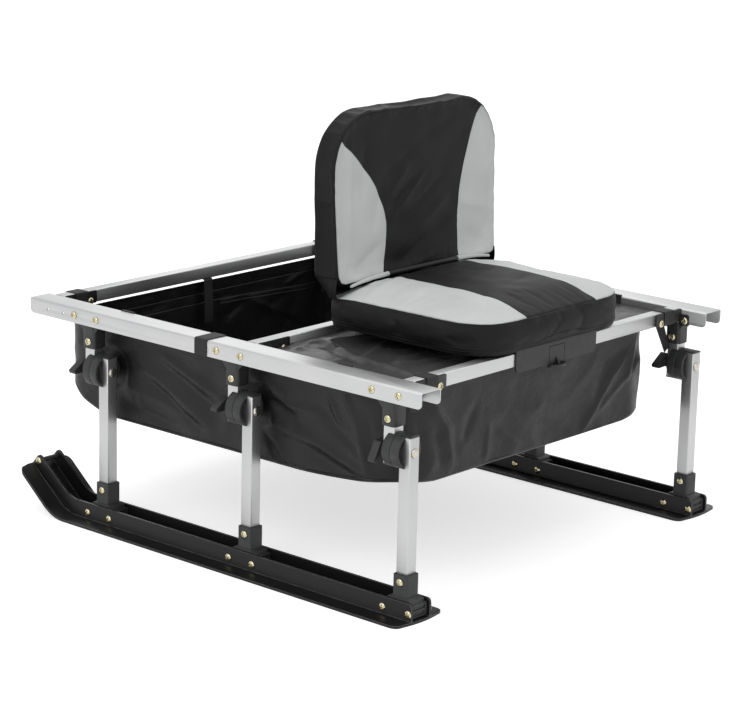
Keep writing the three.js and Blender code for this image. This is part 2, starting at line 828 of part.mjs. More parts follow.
// A saddle with its long flange on +X, in the tube's own place
function seatClip(plateReach) {
  const face = tubeHalf + gap;
  const outer = face + clipThickness;
  const under = tubeTop + gap;
  const long = block(face, outer, -clipHalfWidth, clipHalfWidth, clipFlangeBottom, clipTop);
  const plate = block(-plateReach, outer, -clipHalfWidth, clipHalfWidth, under, clipTop);
  const lip = block(-outer, -face, -clipHalfWidth, clipHalfWidth, clipLipBottom, clipTop);
  const endOutline = roundedRectangle(
    -clipHalfWidth, clipHalfWidth, clipFlangeBottom, clipTop + clipCornerRadius, clipCornerRadius,
  );
  const trim = bar(endOutline, plateReach + outer + overrun)
    .translate(-plateReach - overrun * half, 0, 0);
  return common(joined(long, plate, lip), trim);
}

function rearSeatClip() {
  const reach = latchHalfWidth + latchSlot;
  const outer = tubeHalf + gap + clipThickness;
  const latchRoom = block(
    tubeHalf, outer + overrun, -reach, reach, clipFlangeBottom - overrun, latchTop + latchSlot,
  );
  return cut(seatClip(tubeHalf + gap + clipThickness), latchRoom);
}

function seatLatch() {
  const face = tubeHalf + gap;
  const outer = face + clipThickness;
  const strip = block(face, outer, -latchHalfWidth, latchHalfWidth, latchBottom, latchTop);
  const hookTop = tubeBottom - gap;
  const hook = block(
    face - latchHookReach, outer, -latchHalfWidth, latchHalfWidth, hookTop - latchHookDepth, hookTop,
  );
  const ledgeShape = new THREE.Shape();
  ledgeShape.absarc(0, 0, latchHalfWidth, -Math.PI * half, Math.PI * half);
  const ledge = extruded(ledgeShape, latchLedgeTop - latchLedgeBottom, tubArcSteps)
    .scale(latchLedge / latchHalfWidth, 1, 1)
    .translate(outer - gap, 0, latchLedgeBottom);
  const rib = slab(
    outlineOf([
      [outer - gap, latchLedgeTop - gap],
      [outer + latchLedge * half, latchLedgeTop - gap],
      [outer - gap, latchLedgeTop + latchLedge],
    ]),
    clipThickness,
  );
  return joined(strip, hook, ledge, rib);
}

addPiece('front_seat_clip', seatClip(clipPlateReach).rotateZ(Math.PI), 'plastic', crossTubePlaces.middle);
addPiece('rear_seat_clip', rearSeatClip(), 'plastic', crossTubePlaces.rear);
addPiece('seat_latch', seatLatch(), 'plastic', crossTubePlaces.rear);

export default sled;
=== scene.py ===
"""The looks of an ice fishing sled: rails, folding legs and skis, a hung fabric tub and a folding seat"""

import math
import random

import bmesh
import bpy
import numpy as np
from mathutils import Matrix, Vector, noise


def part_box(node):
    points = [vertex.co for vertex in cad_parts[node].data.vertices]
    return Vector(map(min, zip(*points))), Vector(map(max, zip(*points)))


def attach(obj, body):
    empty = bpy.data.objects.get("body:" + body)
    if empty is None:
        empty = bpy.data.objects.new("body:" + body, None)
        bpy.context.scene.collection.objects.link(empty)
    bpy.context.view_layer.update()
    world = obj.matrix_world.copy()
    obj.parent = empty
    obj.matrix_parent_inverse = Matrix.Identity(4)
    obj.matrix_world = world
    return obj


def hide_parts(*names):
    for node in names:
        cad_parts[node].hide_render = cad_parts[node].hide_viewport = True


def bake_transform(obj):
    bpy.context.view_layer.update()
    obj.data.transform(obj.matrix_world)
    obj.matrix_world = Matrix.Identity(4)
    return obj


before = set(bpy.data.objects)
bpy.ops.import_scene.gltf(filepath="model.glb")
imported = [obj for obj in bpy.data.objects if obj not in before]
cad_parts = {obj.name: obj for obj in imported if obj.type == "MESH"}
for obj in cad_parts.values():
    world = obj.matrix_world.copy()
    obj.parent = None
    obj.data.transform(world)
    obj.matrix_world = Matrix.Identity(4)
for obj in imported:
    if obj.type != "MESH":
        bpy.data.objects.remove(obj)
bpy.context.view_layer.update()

SIDES = {"left": -1, "right": 1}
STATIONS = ("front", "middle", "rear")
CLEARANCE = 0.0003
FINE_BEVEL = 0.0003
MOULDING_BEVEL = 0.0006
# Past every piece, for the far ends of cutting tools
BEYOND = 1.0


# Places read from the frame, in metres

def centre(node):
    low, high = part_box(node)
    return (low + high) / 2


RAIL = {name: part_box(f"{name}_rail") for name in SIDES}
RAIL_WIDTH = RAIL["left"][1].y - RAIL["left"][0].y
RAIL_BOTTOM, RAIL_TOP = RAIL["left"][0].z, RAIL["left"][1].z
SIDE_Y = (RAIL["right"][0].y + RAIL["right"][1].y) / 2
FLANGE_FACE = RAIL["right"][0].y
UPPER_X = {name: centre(f"left_{name}_upper_leg").x for name in STATIONS}
LOWER_X = {name: centre(f"left_{name}_lower_leg").x for name in STATIONS}
PIVOT_Z = centre("left_front_lower_knuckle").z
LEG_LOW, LEG_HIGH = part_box("left_front_lower_leg")
TUBE_SIDE = LEG_HIGH.x - LEG_LOW.x
TUBE_X = {name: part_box(f"{name}_cross_tube")[0].x + TUBE_SIDE / 2 for name in STATIONS}
SKI_LOW, SKI_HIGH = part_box("left_ski")


# Mesh helpers

def link(obj):
    bpy.context.scene.collection.objects.link(obj)
    return obj


def shaded(obj, degrees=32):
    mesh = obj.data
    mesh.polygons.foreach_set("use_smooth", [True] * len(mesh.polygons))
    mesh.set_sharp_from_angle(angle=math.radians(degrees))
    return obj


def piece(name, form, finish=None):
    """A new object from a bmesh, which is used up"""
    mesh = bpy.data.meshes.new(name)
    bmesh.ops.recalc_face_normals(form, faces=form.faces)
    form.to_mesh(mesh)
    form.free()
    obj = link(bpy.data.objects.new(name, mesh))
    if finish:
        mesh.materials.append(finish)
    return shaded(obj)


def baked(obj, degrees=32):
    """Applies the modifiers"""
    graph = bpy.context.evaluated_depsgraph_get()
    mesh = bpy.data.meshes.new_from_object(obj.evaluated_get(graph))
    old = obj.data
    obj.modifiers.clear()
    obj.data = mesh
    bpy.data.meshes.remove(old)
    return shaded(obj, degrees)


def modified(obj, kind, **settings):
    modifier = obj.modifiers.new(kind.lower(), kind)
    for name, value in settings.items():
        setattr(modifier, name, value)
    return modifier


def combined(obj, operation, forms):
    tools = [piece("tool", form) for form in forms]
    for tool in tools:
        modified(obj, "BOOLEAN", operation=operation, solver="EXACT", object=tool)
    finish = obj.data.materials[0] if obj.data.materials else None
    baked(obj)
    obj.data.materials.clear()
    obj.data.materials.append(finish)
    for tool in tools:
        bpy.data.objects.remove(tool)
    return obj


def bevelled(obj, width, segments=2, degrees=32, edge_finish=None):
    """Softens the edges, with a finish of their own where one is given"""
    angle = math.radians(degrees)
    modifier = modified(obj, "BEVEL", width=width, segments=segments, limit_method="ANGLE", angle_limit=angle)
    if edge_finish:
        obj.data.materials.append(edge_finish)
        modifier.material = 1
    return baked(obj, degrees)


def dressed(obj, body, node=None):
    """Puts a piece on its body, in the place of a CAD node where one is named"""
    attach(obj, body)
    if node:
        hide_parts(node)


def stamped(name, template, places, finish=None):
    """One object that holds a copy of the template's mesh at each place"""
    form = bmesh.new()
    for matrix in places:
        start = len(form.verts)
        form.from_mesh(template.data)
        form.verts.ensure_lookup_table()
        bmesh.ops.transform(form, matrix=matrix, verts=form.verts[start:])
    mesh = bpy.data.meshes.new(name)
    form.to_mesh(mesh)
    form.free()
    obj = link(bpy.data.objects.new(name, mesh))
    for material in [finish] if finish else template.data.materials:
        mesh.materials.append(material)
    return obj


def filleted(corners, steps=6):
    """The outline through the corners (a, b, radius), each rounded by an arc"""
    points = []
    count = len(corners)
    for index, (a, b, radius) in enumerate(corners):
        here = Vector((a, b))
        if not radius:
            points.append(tuple(here))
            continue
        before = (Vector(corners[index - 1][:2]) - here).normalized()
        after = (Vector(corners[(index + 1) % count][:2]) - here).normalized()
        half_angle = before.angle(after) / 2
        middle = here + (before + after).normalized() * (radius / math.sin(half_angle))
        start = here + before * (radius / math.tan(half_angle)) - middle
        end = here + after * (radius / math.tan(half_angle)) - middle
        turn = start.angle_signed(end)
        for step in range(steps + 1):
            arm = start.copy()
            arm.rotate(Matrix.Rotation(-turn * step / steps, 2))
            points.append(tuple(middle + arm))
    return points


def symmetric(half, middle=0.0, steps=6):
    """The outline through the corners (a, b, radius) of its far half and their mirror images"""
    corners = [(middle + a, b, radius) for a, b, radius in half]
    corners += [(middle - a, b, radius) for a, b, radius in reversed(half)]
    return filleted(corners, steps)


def rounded_rectangle(a0, a1, b0, b1, radius, steps=6):
    return filleted([(a0, b0, radius), (a1, b0, radius), (a1, b1, radius), (a0, b1, radius)], steps)


def rounded_square(half, radius, a=0.0, b=0.0, steps=6):
    return rounded_rectangle(a - half, a + half, b - half, b + half, radius, steps)


def span(side, near, far):
    """The ends of a run on one side, in order"""
    return sorted((side * near, side * far))


# For a run along each axis, the turn that takes an outline's (a, b, run) there
RUNS = {
    "x": Matrix(((0, 0, 1, 0), (1, 0, 0, 0), (0, 1, 0, 0), (0, 0, 0, 1))),
    "y": Matrix(((1, 0, 0, 0), (0, 0, 1, 0), (0, 1, 0, 0), (0, 0, 0, 1))),
    "z": Matrix.Identity(4),
}


def joined(form, rows, closed=True):
    """Faces between each row of points and the next"""
    for near, far in zip(rows, rows[1:]):
        for index in range(0 if closed else 1, len(near)):
            form.faces.new((near[index - 1], near[index], far[index], far[index - 1]))


def run_out(outline, start, end, axis, hole=None):
    """An outline run from start to end along an axis, with a hole of as many points if one is given"""
    form = bmesh.new()
    loops = []
    for points in [outline] + ([hole] if hole else []):
        loops.append([[form.verts.new((a, b, run)) for a, b in points] for run in (start, end)])
    for rows in loops:
        joined(form, rows)
    if hole:
        for rows in zip(*loops):
            joined(form, rows)
    else:
        for cap in loops[0]:
            form.faces.new(cap)
    bmesh.ops.transform(form, matrix=RUNS[axis], verts=form.verts)
    return form


def box_form(x0, x1, y0, y1, z0, z1):
    return run_out([(x0, y0), (x1, y0), (x1, y1), (x0, y1)], z0, z1, "z")


def circle(radius, steps, a=0.0, b=0.0):
    turns = [2 * math.pi * step / steps for step in range(steps)]
    return [(a + radius * math.cos(turn), b + radius * math.sin(turn)) for turn in turns]


def turned(profile, steps=32):
    """A solid of revolution about Z, from (radius, height) points that start and end on the axis"""
    form = bmesh.new()
    rings = []
    for radius, height in profile:
        points = circle(radius, steps) if radius else [(0, 0)]
        rings.append([form.verts.new((a, b, height)) for a, b in points])
    for lower, upper in zip(rings, rings[1:]):
        for index in range(steps):
            corners = [lower[index - 1], lower[index]] if len(lower) > 1 else [lower[0]]
            corners += [upper[index], upper[index - 1]] if len(upper) > 1 else [upper[0]]
            form.faces.new(corners)
    return form


# Material helpers

class Nodes:
    """Short ways to add nodes to a tree"""

    def __init__(self, tree):
        self.tree = tree

    def wire(self, value, socket):
        if isinstance(value, (int, float)):
            socket.default_value = value
        elif isinstance(value, tuple):
            socket.default_value = (*value, 1) if len(socket.default_value) == 4 else value
        else:
            self.tree.links.new(value, socket)

    def node(self, kind, *values, **inputs):
        """A new node with values or links in its first inputs and in the inputs named"""
        node = self.tree.nodes.new(f"ShaderNode{kind}")
        for value, socket in zip(values, node.inputs):
            self.wire(value, socket)
        for name, value in inputs.items():
            self.wire(value, node.inputs[name.replace("_", " ")])
        return node

    def math(self, operation, *values):
        node = self.node("Math", *values)
        node.operation = operation
        return node.outputs[0]


class Finish(Nodes):
    """A material on the Principled shader, with patterns in object coordinates"""

    def __init__(self, name, colour, roughness, metallic=0.0, **sockets):
        self.material = bpy.data.materials.new(name)
        self.material.use_nodes = True
        super().__init__(self.material.node_tree)
        self.shader = self.tree.nodes["Principled BSDF"]
        self.place = self.node("TexCoord").outputs["Object"]
        self.shader.inputs["Base Color"].default_value = (*colour, 1)
        self.shader.inputs["Roughness"].default_value = roughness
        self.shader.inputs["Metallic"].default_value = metallic
        for socket, value in sockets.items():
            self.shader.inputs[socket.replace("_", " ")].default_value = value
        self.relief = None

    def noise(self, scale, detail=2.0, stretch=(1, 1, 1), roughness=0.5):
        place = self.node("Mapping", Scale=stretch, Vector=self.place).outputs["Vector"]
        node = self.node("TexNoise", Scale=scale, Detail=detail, Roughness=roughness, Vector=place)
        return node.outputs["Fac"]

    def ramp(self, factor, low, high):
        """A factor stretched from low..high to 0..1"""
        return self.node("MapRange", From_Min=low, From_Max=high, Value=factor).outputs["Result"]

    def mix(self, factor, first, second):
        node = self.node("Mix")
        node.data_type = "RGBA"
        sockets = {socket.identifier: socket for socket in [*node.inputs, *node.outputs]}
        self.wire(factor, node.inputs[0])
        self.wire(first, sockets["A_Color"])
        self.wire(second, sockets["B_Color"])
        return sockets["Result_Color"]

    def clouds(self, first, second, scale, detail, low=0.3, high=0.7):
        """A colour that drifts between two in soft clouds"""
        return self.mix(self.ramp(self.noise(scale, detail), low, high), first, second)

    def attribute(self, name):
        node = self.node("Attribute")
        node.attribute_name = name
        return node.outputs["Fac"]

    def colour(self, value):
        self.wire(value, self.shader.inputs["Base Color"])

    def rough(self, factor, low, high):
        """Roughness that follows a factor from low to high"""
        self.wire(self.math("MULTIPLY_ADD", factor, high - low, low), self.shader.inputs["Roughness"])

    def bump(self, height, distance, strength=1.0):
        """Adds a relief to those before it"""
        node = self.node("Bump", Distance=distance, Strength=strength, Height=height)
        if self.relief:
            self.wire(self.relief, node.inputs["Normal"])
        self.relief = node.outputs["Normal"]
        self.wire(self.relief, self.shader.inputs["Normal"])


def grey(level, warm=0.0):
    """A near grey, from its sRGB level of 255"""
    linear = (level / 255) ** 2.2
    return (linear * (1 + warm), linear, linear * (1 - warm))


def aluminium_finish(name, stretch):
    """Satin anodised aluminium, drawn along the axis whose stretch is small"""
    finish = Finish(name, grey(190), roughness=0.36, metallic=1.0)
    streak = finish.noise(scale=420, detail=2, stretch=stretch)
    finish.colour(finish.clouds(grey(189, warm=-0.01), grey(193), scale=9, detail=3))
    finish.rough(streak, low=0.38, high=0.44)
    finish.bump(streak, distance=0.00002, strength=0.08)
    return finish.material


def moulding_finish(name, level, roughness):
    """Glass filled nylon with a fine spark-eroded grain and rubbed edges"""
    finish = Finish(name, grey(level, warm=-0.02), roughness, Specular_IOR_Level=0.4)
    fine = finish.noise(scale=1400, detail=2)
    body = finish.clouds(grey(level - 5, warm=-0.02), grey(level + 5, warm=-0.03), scale=38, detail=4)
    edges = finish.ramp(finish.node("NewGeometry").outputs["Pointiness"], low=0.52, high=0.6)
    patches = finish.ramp(finish.noise(scale=160, detail=3), low=0.35, high=0.75)
    worn = finish.math("MULTIPLY", edges, patches)
    finish.colour(finish.mix(finish.math("MULTIPLY", worn, 0.35), body, grey(level + 55)))
    finish.rough(fine, low=roughness - 0.08, high=roughness + 0.08)
    finish.bump(fine, distance=0.00008, strength=0.6)
    return finish.material


def ski_finish():
    """Black polyethylene, satin, with a few faint scuffs along the run"""
    finish = Finish("ski_plastic", grey(27), roughness=0.36, Specular_IOR_Level=0.3)
    scuffs = finish.noise(scale=260, detail=4, stretch=(0.06, 1, 1), roughness=0.6)
    marks = finish.noise(scale=36, detail=5, stretch=(0.35, 1, 1), roughness=0.7)
    marks = finish.math("MULTIPLY", finish.ramp(marks, low=0.7, high=0.86), 0.22)
    finish.colour(finish.mix(marks, grey(27), grey(92)))
    finish.rough(scuffs, low=0.31, high=0.41)
    finish.bump(scuffs, distance=0.00003, strength=0.3)
    return finish.material


def ski_highlight_edge_finish():
    """Paler bevels of the same plastic: a painted highlight along the edges, with rubbed wear that is paler
    in places
    """
    finish = Finish("ski_painted_edge_highlight", grey(70), roughness=0.3, Specular_IOR_Level=0.5)
    finish.colour(finish.clouds(grey(40), grey(120), scale=90, detail=4))
    return finish.material


def zinc_finish(name, base, tint):
    """Zinc plate, passivated to a base colour with a tinted bloom"""
    finish = Finish(name, base, roughness=0.26, metallic=1.0)
    finish.colour(finish.clouds(base, tint, scale=240, detail=2, low=0.35, high=0.68))
    finish.rough(finish.noise(scale=700, detail=2), low=0.1, high=0.26)
    return finish.material


def woven(finish, pitch, depth):
    """Threads of a plain weave, as bump"""
    warp = finish.noise(scale=1 / pitch, detail=1, stretch=(1, 0.12, 0.3))
    weft = finish.noise(scale=1 / pitch, detail=1, stretch=(0.12, 1, 1))
    finish.bump(finish.math("ADD", warp, weft), depth, strength=0.7)


def grooved(finish, distance, half_width, depth, share=1.0):
    """A sewn groove where a distance crosses zero, as bump"""
    near = finish.ramp(finish.math("ABSOLUTE", distance), 0.0, half_width)
    sunk = finish.math("MULTIPLY", finish.math("SUBTRACT", 1.0, near), share)
    finish.bump(finish.math("SUBTRACT", 1.0, sunk), depth, strength=0.8)


def tub_finish(name, level, roughness, seams=()):
    """Coated polyester, slightly shiny, with fine creases in the coating and its sewn seams"""
    finish = Finish(name, grey(level), roughness, Specular_IOR_Level=0.3)
    finish.colour(finish.clouds(grey(level - 5), grey(level + 6), scale=7, detail=5))
    crease = finish.noise(scale=19, detail=7, stretch=(1, 1, 1.5), roughness=0.6)
    finish.rough(crease, low=roughness - 0.12, high=roughness + 0.12)
    finish.bump(crease, distance=0.006, strength=0.45)
    for seam in seams:
        grooved(finish, finish.attribute(seam), half_width=0.0016, depth=0.0016)
    woven(finish, pitch=0.0011, depth=0.0001)
    return finish.material


def webbing_finish(name, level):
    finish = Finish(name, grey(level), roughness=0.7)
    ribs = finish.noise(scale=900, detail=1, stretch=(0.2, 1, 1))
    finish.colour(finish.mix(ribs, grey(level - 8), grey(level + 12)))
    finish.bump(ribs, distance=0.0002, strength=0.6)
    return finish.material


ALUMINIUM_X = aluminium_finish("aluminium_along_x", (0.01, 1, 1))
ALUMINIUM_Y = aluminium_finish("aluminium_along_y", (1, 0.01, 1))
ALUMINIUM_Z = aluminium_finish("aluminium_along_z", (1, 1, 0.01))
MOULDING = moulding_finish("moulding_plastic", level=54, roughness=0.5)
BRACKET = moulding_finish("bracket_coat", level=30, roughness=0.42)
LEVER = moulding_finish("lever_plastic", level=48, roughness=0.44)
SKI = ski_finish()
# The ski's bevels get a paler colour, a painted highlight along its edges with some rubbed wear
SKI_HIGHLIGHT_EDGE = ski_highlight_edge_finish()
YELLOW_ZINC = zinc_finish("yellow_zinc", (0.55, 0.56, 0.33), (0.60, 0.50, 0.40))
BOLT_ZINC = zinc_finish("bolt_zinc", (0.44, 0.43, 0.34), (0.62, 0.57, 0.52))
CLIP = moulding_finish("clip_plastic", level=36, roughness=0.46)
TUB_SEAMS = ("hem_seam", "low_seam", "pocket_seam", "pocket_low_seam", "pocket_edge")
TUB_CLOTH = tub_finish("tub_cloth", level=27, roughness=0.42, seams=TUB_SEAMS)
COVER_CLOTH = tub_finish("cover_cloth", level=68, roughness=0.4)
CASE_CLOTH = tub_finish("case_cloth", level=36, roughness=0.5)
WEBBING = webbing_finish("webbing", level=25)


# Camera, floor and light

CAMERA_PLACE = (3.22934, -3.73855, 1.57588)
CAMERA_YAW = 0.7125070968
CAMERA_PITCH = -0.2509145702
CAMERA_ROLL = 0.0238153905
CAMERA_LENS = 124.02
CAMERA_SENSOR = 36.0


def add_camera():
    data = bpy.data.cameras.new("camera")
    data.lens = CAMERA_LENS
    data.sensor_width = CAMERA_SENSOR
    camera = link(bpy.data.objects.new("camera", data))
    level = math.cos(CAMERA_PITCH)
    forward = Vector((-math.sin(CAMERA_YAW) * level, math.cos(CAMERA_YAW) * level, math.sin(CAMERA_PITCH)))
    side = forward.cross(Vector((0, 0, 1))).normalized()
    top = side.cross(forward)
    right = side * math.cos(CAMERA_ROLL) + top * math.sin(CAMERA_ROLL)
    up = top * math.cos(CAMERA_ROLL) - side * math.sin(CAMERA_ROLL)
    turn = Matrix((right, up, -forward)).transposed().to_4x4()
    camera.matrix_world = Matrix.Translation(CAMERA_PLACE) @ turn
    bpy.context.scene.camera = camera


def white_to_eye(nodes, shader, shows):
    """Shows plain white to the camera and in reflections, and the shader to all other rays"""
    path = nodes.node("LightPath").outputs
    seen = path["Is Camera Ray"]
    for ray in ("Is Glossy Ray", "Is Transmission Ray"):
        seen = nodes.math("MAXIMUM", seen, path[ray])
    return nodes.node("MixShader", seen, shader, shows).outputs[0]


FLOOR_HALF = 9.0
FLOOR_LEVEL = 0.8
FLOOR_GLOW = 0.60
AMBIENT = 0.56


def add_floor():
    form = bmesh.new()
    corners = ((-1, -1), (1, -1), (1, 1), (-1, 1))
    form.faces.new([form.verts.new((a * FLOOR_HALF, b * FLOOR_HALF, 0)) for a, b in corners])
    finish = Finish("floor", (FLOOR_LEVEL,) * 3, roughness=0.9)
    plain = finish.shader.outputs[0]
    glow = finish.node("Emission", Strength=FLOOR_GLOW).outputs[0]
    shown = white_to_eye(finish, plain, finish.node("AddShader", plain, glow).outputs[0])
    finish.wire(shown, finish.tree.nodes["Material Output"].inputs["Surface"])
    piece("floor", form, finish.material)


def add_backdrop():
    world = bpy.data.worlds.new("studio")
    bpy.context.scene.world = world
    world.use_nodes = True
    nodes = Nodes(world.node_tree)
    ambient = nodes.node("Background", Color=(1, 1, 1), Strength=AMBIENT).outputs[0]
    white = nodes.node("Background", Color=(1, 1, 1), Strength=1).outputs[0]
    shown = white_to_eye(nodes, ambient, white)
    nodes.wire(shown, world.node_tree.nodes["World Output"].inputs["Surface"])


# Soft boxes: place, size and power in watts
LAMPS = {
    "key": ((0.2, -4.2, 3.0), 3.0, 45),
    "top": ((0.0, 0.6, 4.4), 3.4, 38),
    "fill": ((4.4, -0.4, 2.4), 3.0, 15),
    "back": ((-3.3, 3.7, 2.7), 3.0, 19),
}


def add_lamps():
    for name, (place, size, power) in LAMPS.items():
        data = bpy.data.lights.new(name, "AREA")
        data.size = size
        data.energy = power
        lamp = link(bpy.data.objects.new(name, data))
        lamp.location = place
        lamp.rotation_euler = (-Vector(place)).to_track_quat("-Z", "Y").to_euler()


add_camera()
add_floor()
add_backdrop()
add_lamps()
bpy.context.scene.view_settings.view_transform = "Standard"


# Rails

RAIL_WALL = 0.002
RAIL_BEND = 0.004
RAIL_END_RADIUS = 0.009
RAIL_HOLE_RADIUS = 0.0025
RAIL_HOLES = (-0.4505, -0.4074)
RAIL_HOLE_Z = 0.406
HANGERS = (-0.278, 0.2795)
HANGER_WIDTH = 0.033
HANGER_STRAP = 0.0015


def add_rail(name, side):
    low, high = RAIL[name]
    y = side * SIDE_Y
    outer = RAIL_WIDTH / 2
    inner = outer - RAIL_WALL
    under = RAIL_TOP - RAIL_WALL
    section = symmetric([
        (inner, under, RAIL_BEND - RAIL_WALL),
        (inner, RAIL_BOTTOM, 0),
        (outer, RAIL_BOTTOM, 0),
        (outer, RAIL_TOP, RAIL_BEND),
    ], y)
    rail = piece(f"{name}_rail_channel", run_out(section, low.x, high.x, "x"), ALUMINIUM_X)
    ends = filleted([
        (low.x, RAIL_BOTTOM, RAIL_END_RADIUS),
        (high.x, RAIL_BOTTOM, RAIL_END_RADIUS),
        (high.x, RAIL_TOP + RAIL_WALL, 0),
        (low.x, RAIL_TOP + RAIL_WALL, 0),
    ], steps=10)
    combined(rail, "INTERSECT", [run_out(ends, y - RAIL_WIDTH, y + RAIL_WIDTH, "y")])
    tools = []
    slot = y - side * (inner - CLEARANCE - HANGER_STRAP / 2)
    half_slot = HANGER_STRAP / 2 + CLEARANCE
    reach = HANGER_WIDTH / 2 + CLEARANCE
    for place in HANGERS:
        sides = (place - reach, place + reach, slot - half_slot, slot + half_slot)
        tools.append(box_form(*sides, under - RAIL_WALL, BEYOND))
    for place in RAIL_HOLES:
        hole = circle(RAIL_HOLE_RADIUS, steps=20, a=place, b=RAIL_HOLE_Z)
        edge = y + side * outer
        tools.append(run_out(hole, edge - RAIL_WALL * 2, edge + RAIL_WALL * 2, "y"))
    combined(rail, "DIFFERENCE", tools)
    bevelled(rail, FINE_BEVEL)
    dressed(rail, "frame", f"{name}_rail")


for side_name, side_sign in SIDES.items():
    add_rail(side_name, side_sign)


# Cross tubes and the coated angle brackets at their ends

TUBE_WALL = 0.0016
TUBE_CORNER = 0.0022
BRACKET_THICKNESS = 0.003
BRACKET_REACH = 0.084
BRACKET_FOOT = 0.022
BRACKET_FOOT_Z = (0.389, 0.411)
BRACKET_CORNER = 0.004


def square_tube(name, x, y, start, end, axis, finish):
    reach = TUBE_SIDE / 2
    inner = reach - TUBE_WALL
    outline = rounded_square(reach, TUBE_CORNER, x, y)
    hole = rounded_square(inner, TUBE_CORNER / 2, x, y)
    tube = piece(name, run_out(outline, start, end, axis, hole), finish)
    return bevelled(tube, FINE_BEVEL, segments=1, degrees=60)


def add_cross_tube(name):
    x = TUBE_X[name]
    end = FLANGE_FACE - CLEARANCE
    tube = square_tube(f"{name}_tube", x, RAIL_TOP - TUBE_SIDE / 2, -end, end, "y", ALUMINIUM_Y)
    dressed(tube, "frame", f"{name}_cross_tube")
    for side_name, side in SIDES.items():
        face = x + TUBE_SIDE / 2 + CLEARANCE / 3
        reach = span(side, end - BRACKET_REACH, end)
        arm = rounded_rectangle(*reach, RAIL_TOP - TUBE_SIDE, RAIL_TOP, BRACKET_CORNER)
        form = run_out(arm, face, face + BRACKET_THICKNESS, "x")
        bracket = piece(f"{side_name}_{name}_bracket", form, BRACKET)
        foot = rounded_rectangle(face, face + BRACKET_FOOT, *BRACKET_FOOT_Z, BRACKET_CORNER)
        depth = span(side, end - BRACKET_THICKNESS, end)
        combined(bracket, "UNION", [run_out(foot, *depth, "y")])
        bevelled(bracket, MOULDING_BEVEL)
        dressed(bracket, "frame", f"{name}_cross_tube")


for station in STATIONS:
    add_cross_tube(station)


# Legs

def body_of(side_name, part):
    return "frame" if part == "upper" else f"{side_name}_runner"


for side_name, side_sign in SIDES.items():
    for station in STATIONS:
        for part, places in (("upper", UPPER_X), ("lower", LOWER_X)):
            node = f"{side_name}_{station}_{part}_leg"
            low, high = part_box(node)
            y = side_sign * SIDE_Y
            leg = square_tube(f"{node}_tube", places[station], y, low.z, high.z, "z", ALUMINIUM_Z)
            dressed(leg, body_of(side_name, part), node)


# Upper sockets under the rails

SOCKET_HALF = 0.0165
SOCKET_CORNER = 0.007
SOCKET_FLARE = 0.014
SOCKET_FLARE_BOTTOM = 0.376
SOCKET_FLARE_RADIUS = 0.004
SOCKET_BLOCK_HALF = 0.0425
SOCKET_BLOCK_RADIUS = 0.003
SOCKET_WEB_INSET = 0.002
SOCKET_OVERLAP = 0.02
SOCKET_FLARE_INSET = 0.001
SOCKET_BEVEL = 0.0007
BORE_HALF = 0.013
BORE = (-BORE_HALF, BORE_HALF, -BORE_HALF, BORE_HALF)


def upper_socket_template():
    low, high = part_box("left_front_upper_socket")
    sleeve = rounded_square(SOCKET_HALF, SOCKET_CORNER, steps=8)
    socket = piece("socket", run_out(sleeve, low.z, RAIL_BOTTOM + SOCKET_OVERLAP, "z"), MOULDING)
    flare = symmetric([
        (SOCKET_HALF - SOCKET_FLARE_INSET, SOCKET_FLARE_BOTTOM, 0),
        (SOCKET_HALF + SOCKET_FLARE, RAIL_BOTTOM, SOCKET_FLARE_RADIUS),
        (SOCKET_BLOCK_HALF, RAIL_BOTTOM, 0),
        (SOCKET_BLOCK_HALF, RAIL_BOTTOM + RAIL_WALL, 0),
    ])
    depth = SOCKET_HALF - SOCKET_WEB_INSET
    web = run_out(flare, -depth, depth, "y")
    half_width = (high.y - low.y) / 2
    head = rounded_rectangle(-half_width, half_width, RAIL_BOTTOM + CLEARANCE, high.z, SOCKET_BLOCK_RADIUS)
    block = run_out(head, -SOCKET_BLOCK_HALF, SOCKET_BLOCK_HALF, "x")
    combined(socket, "UNION", [web, block])
    combined(socket, "DIFFERENCE", [box_form(*BORE, -BEYOND, high.z - SOCKET_OVERLAP)])
    return bevelled(socket, SOCKET_BEVEL)


# Ski sockets between the webs

SKI_SOCKET_BASE = 0.041
SKI_BLOCK_TOP = 0.037
SKI_BLOCK_HALF = 0.032
SKI_BLOCK_RADIUS = 0.0025
SKI_BLOCK_STEP = 0.006
SKI_SLEEVE_START = 0.01
# The step between block and sleeve: its insets at foot and top, and its two radii
SKI_STEP_INSETS = (0.004, 0.005)
SKI_STEP_RADII = (0.003, 0.002)
SKI_STEP_NECK = 0.003
SKI_STEP_INSET = 0.003
SKI_STEP_OVERLAP = 0.003
SKI_SLEEVE_CORNER = 0.0035
SKI_BORE_FLOOR = 0.006
SKI_GROOVE_DEPTH = 0.003
SKI_GROOVE_HEIGHTS = (0.0105, 0.0205)
SKI_GROOVE = 0.006


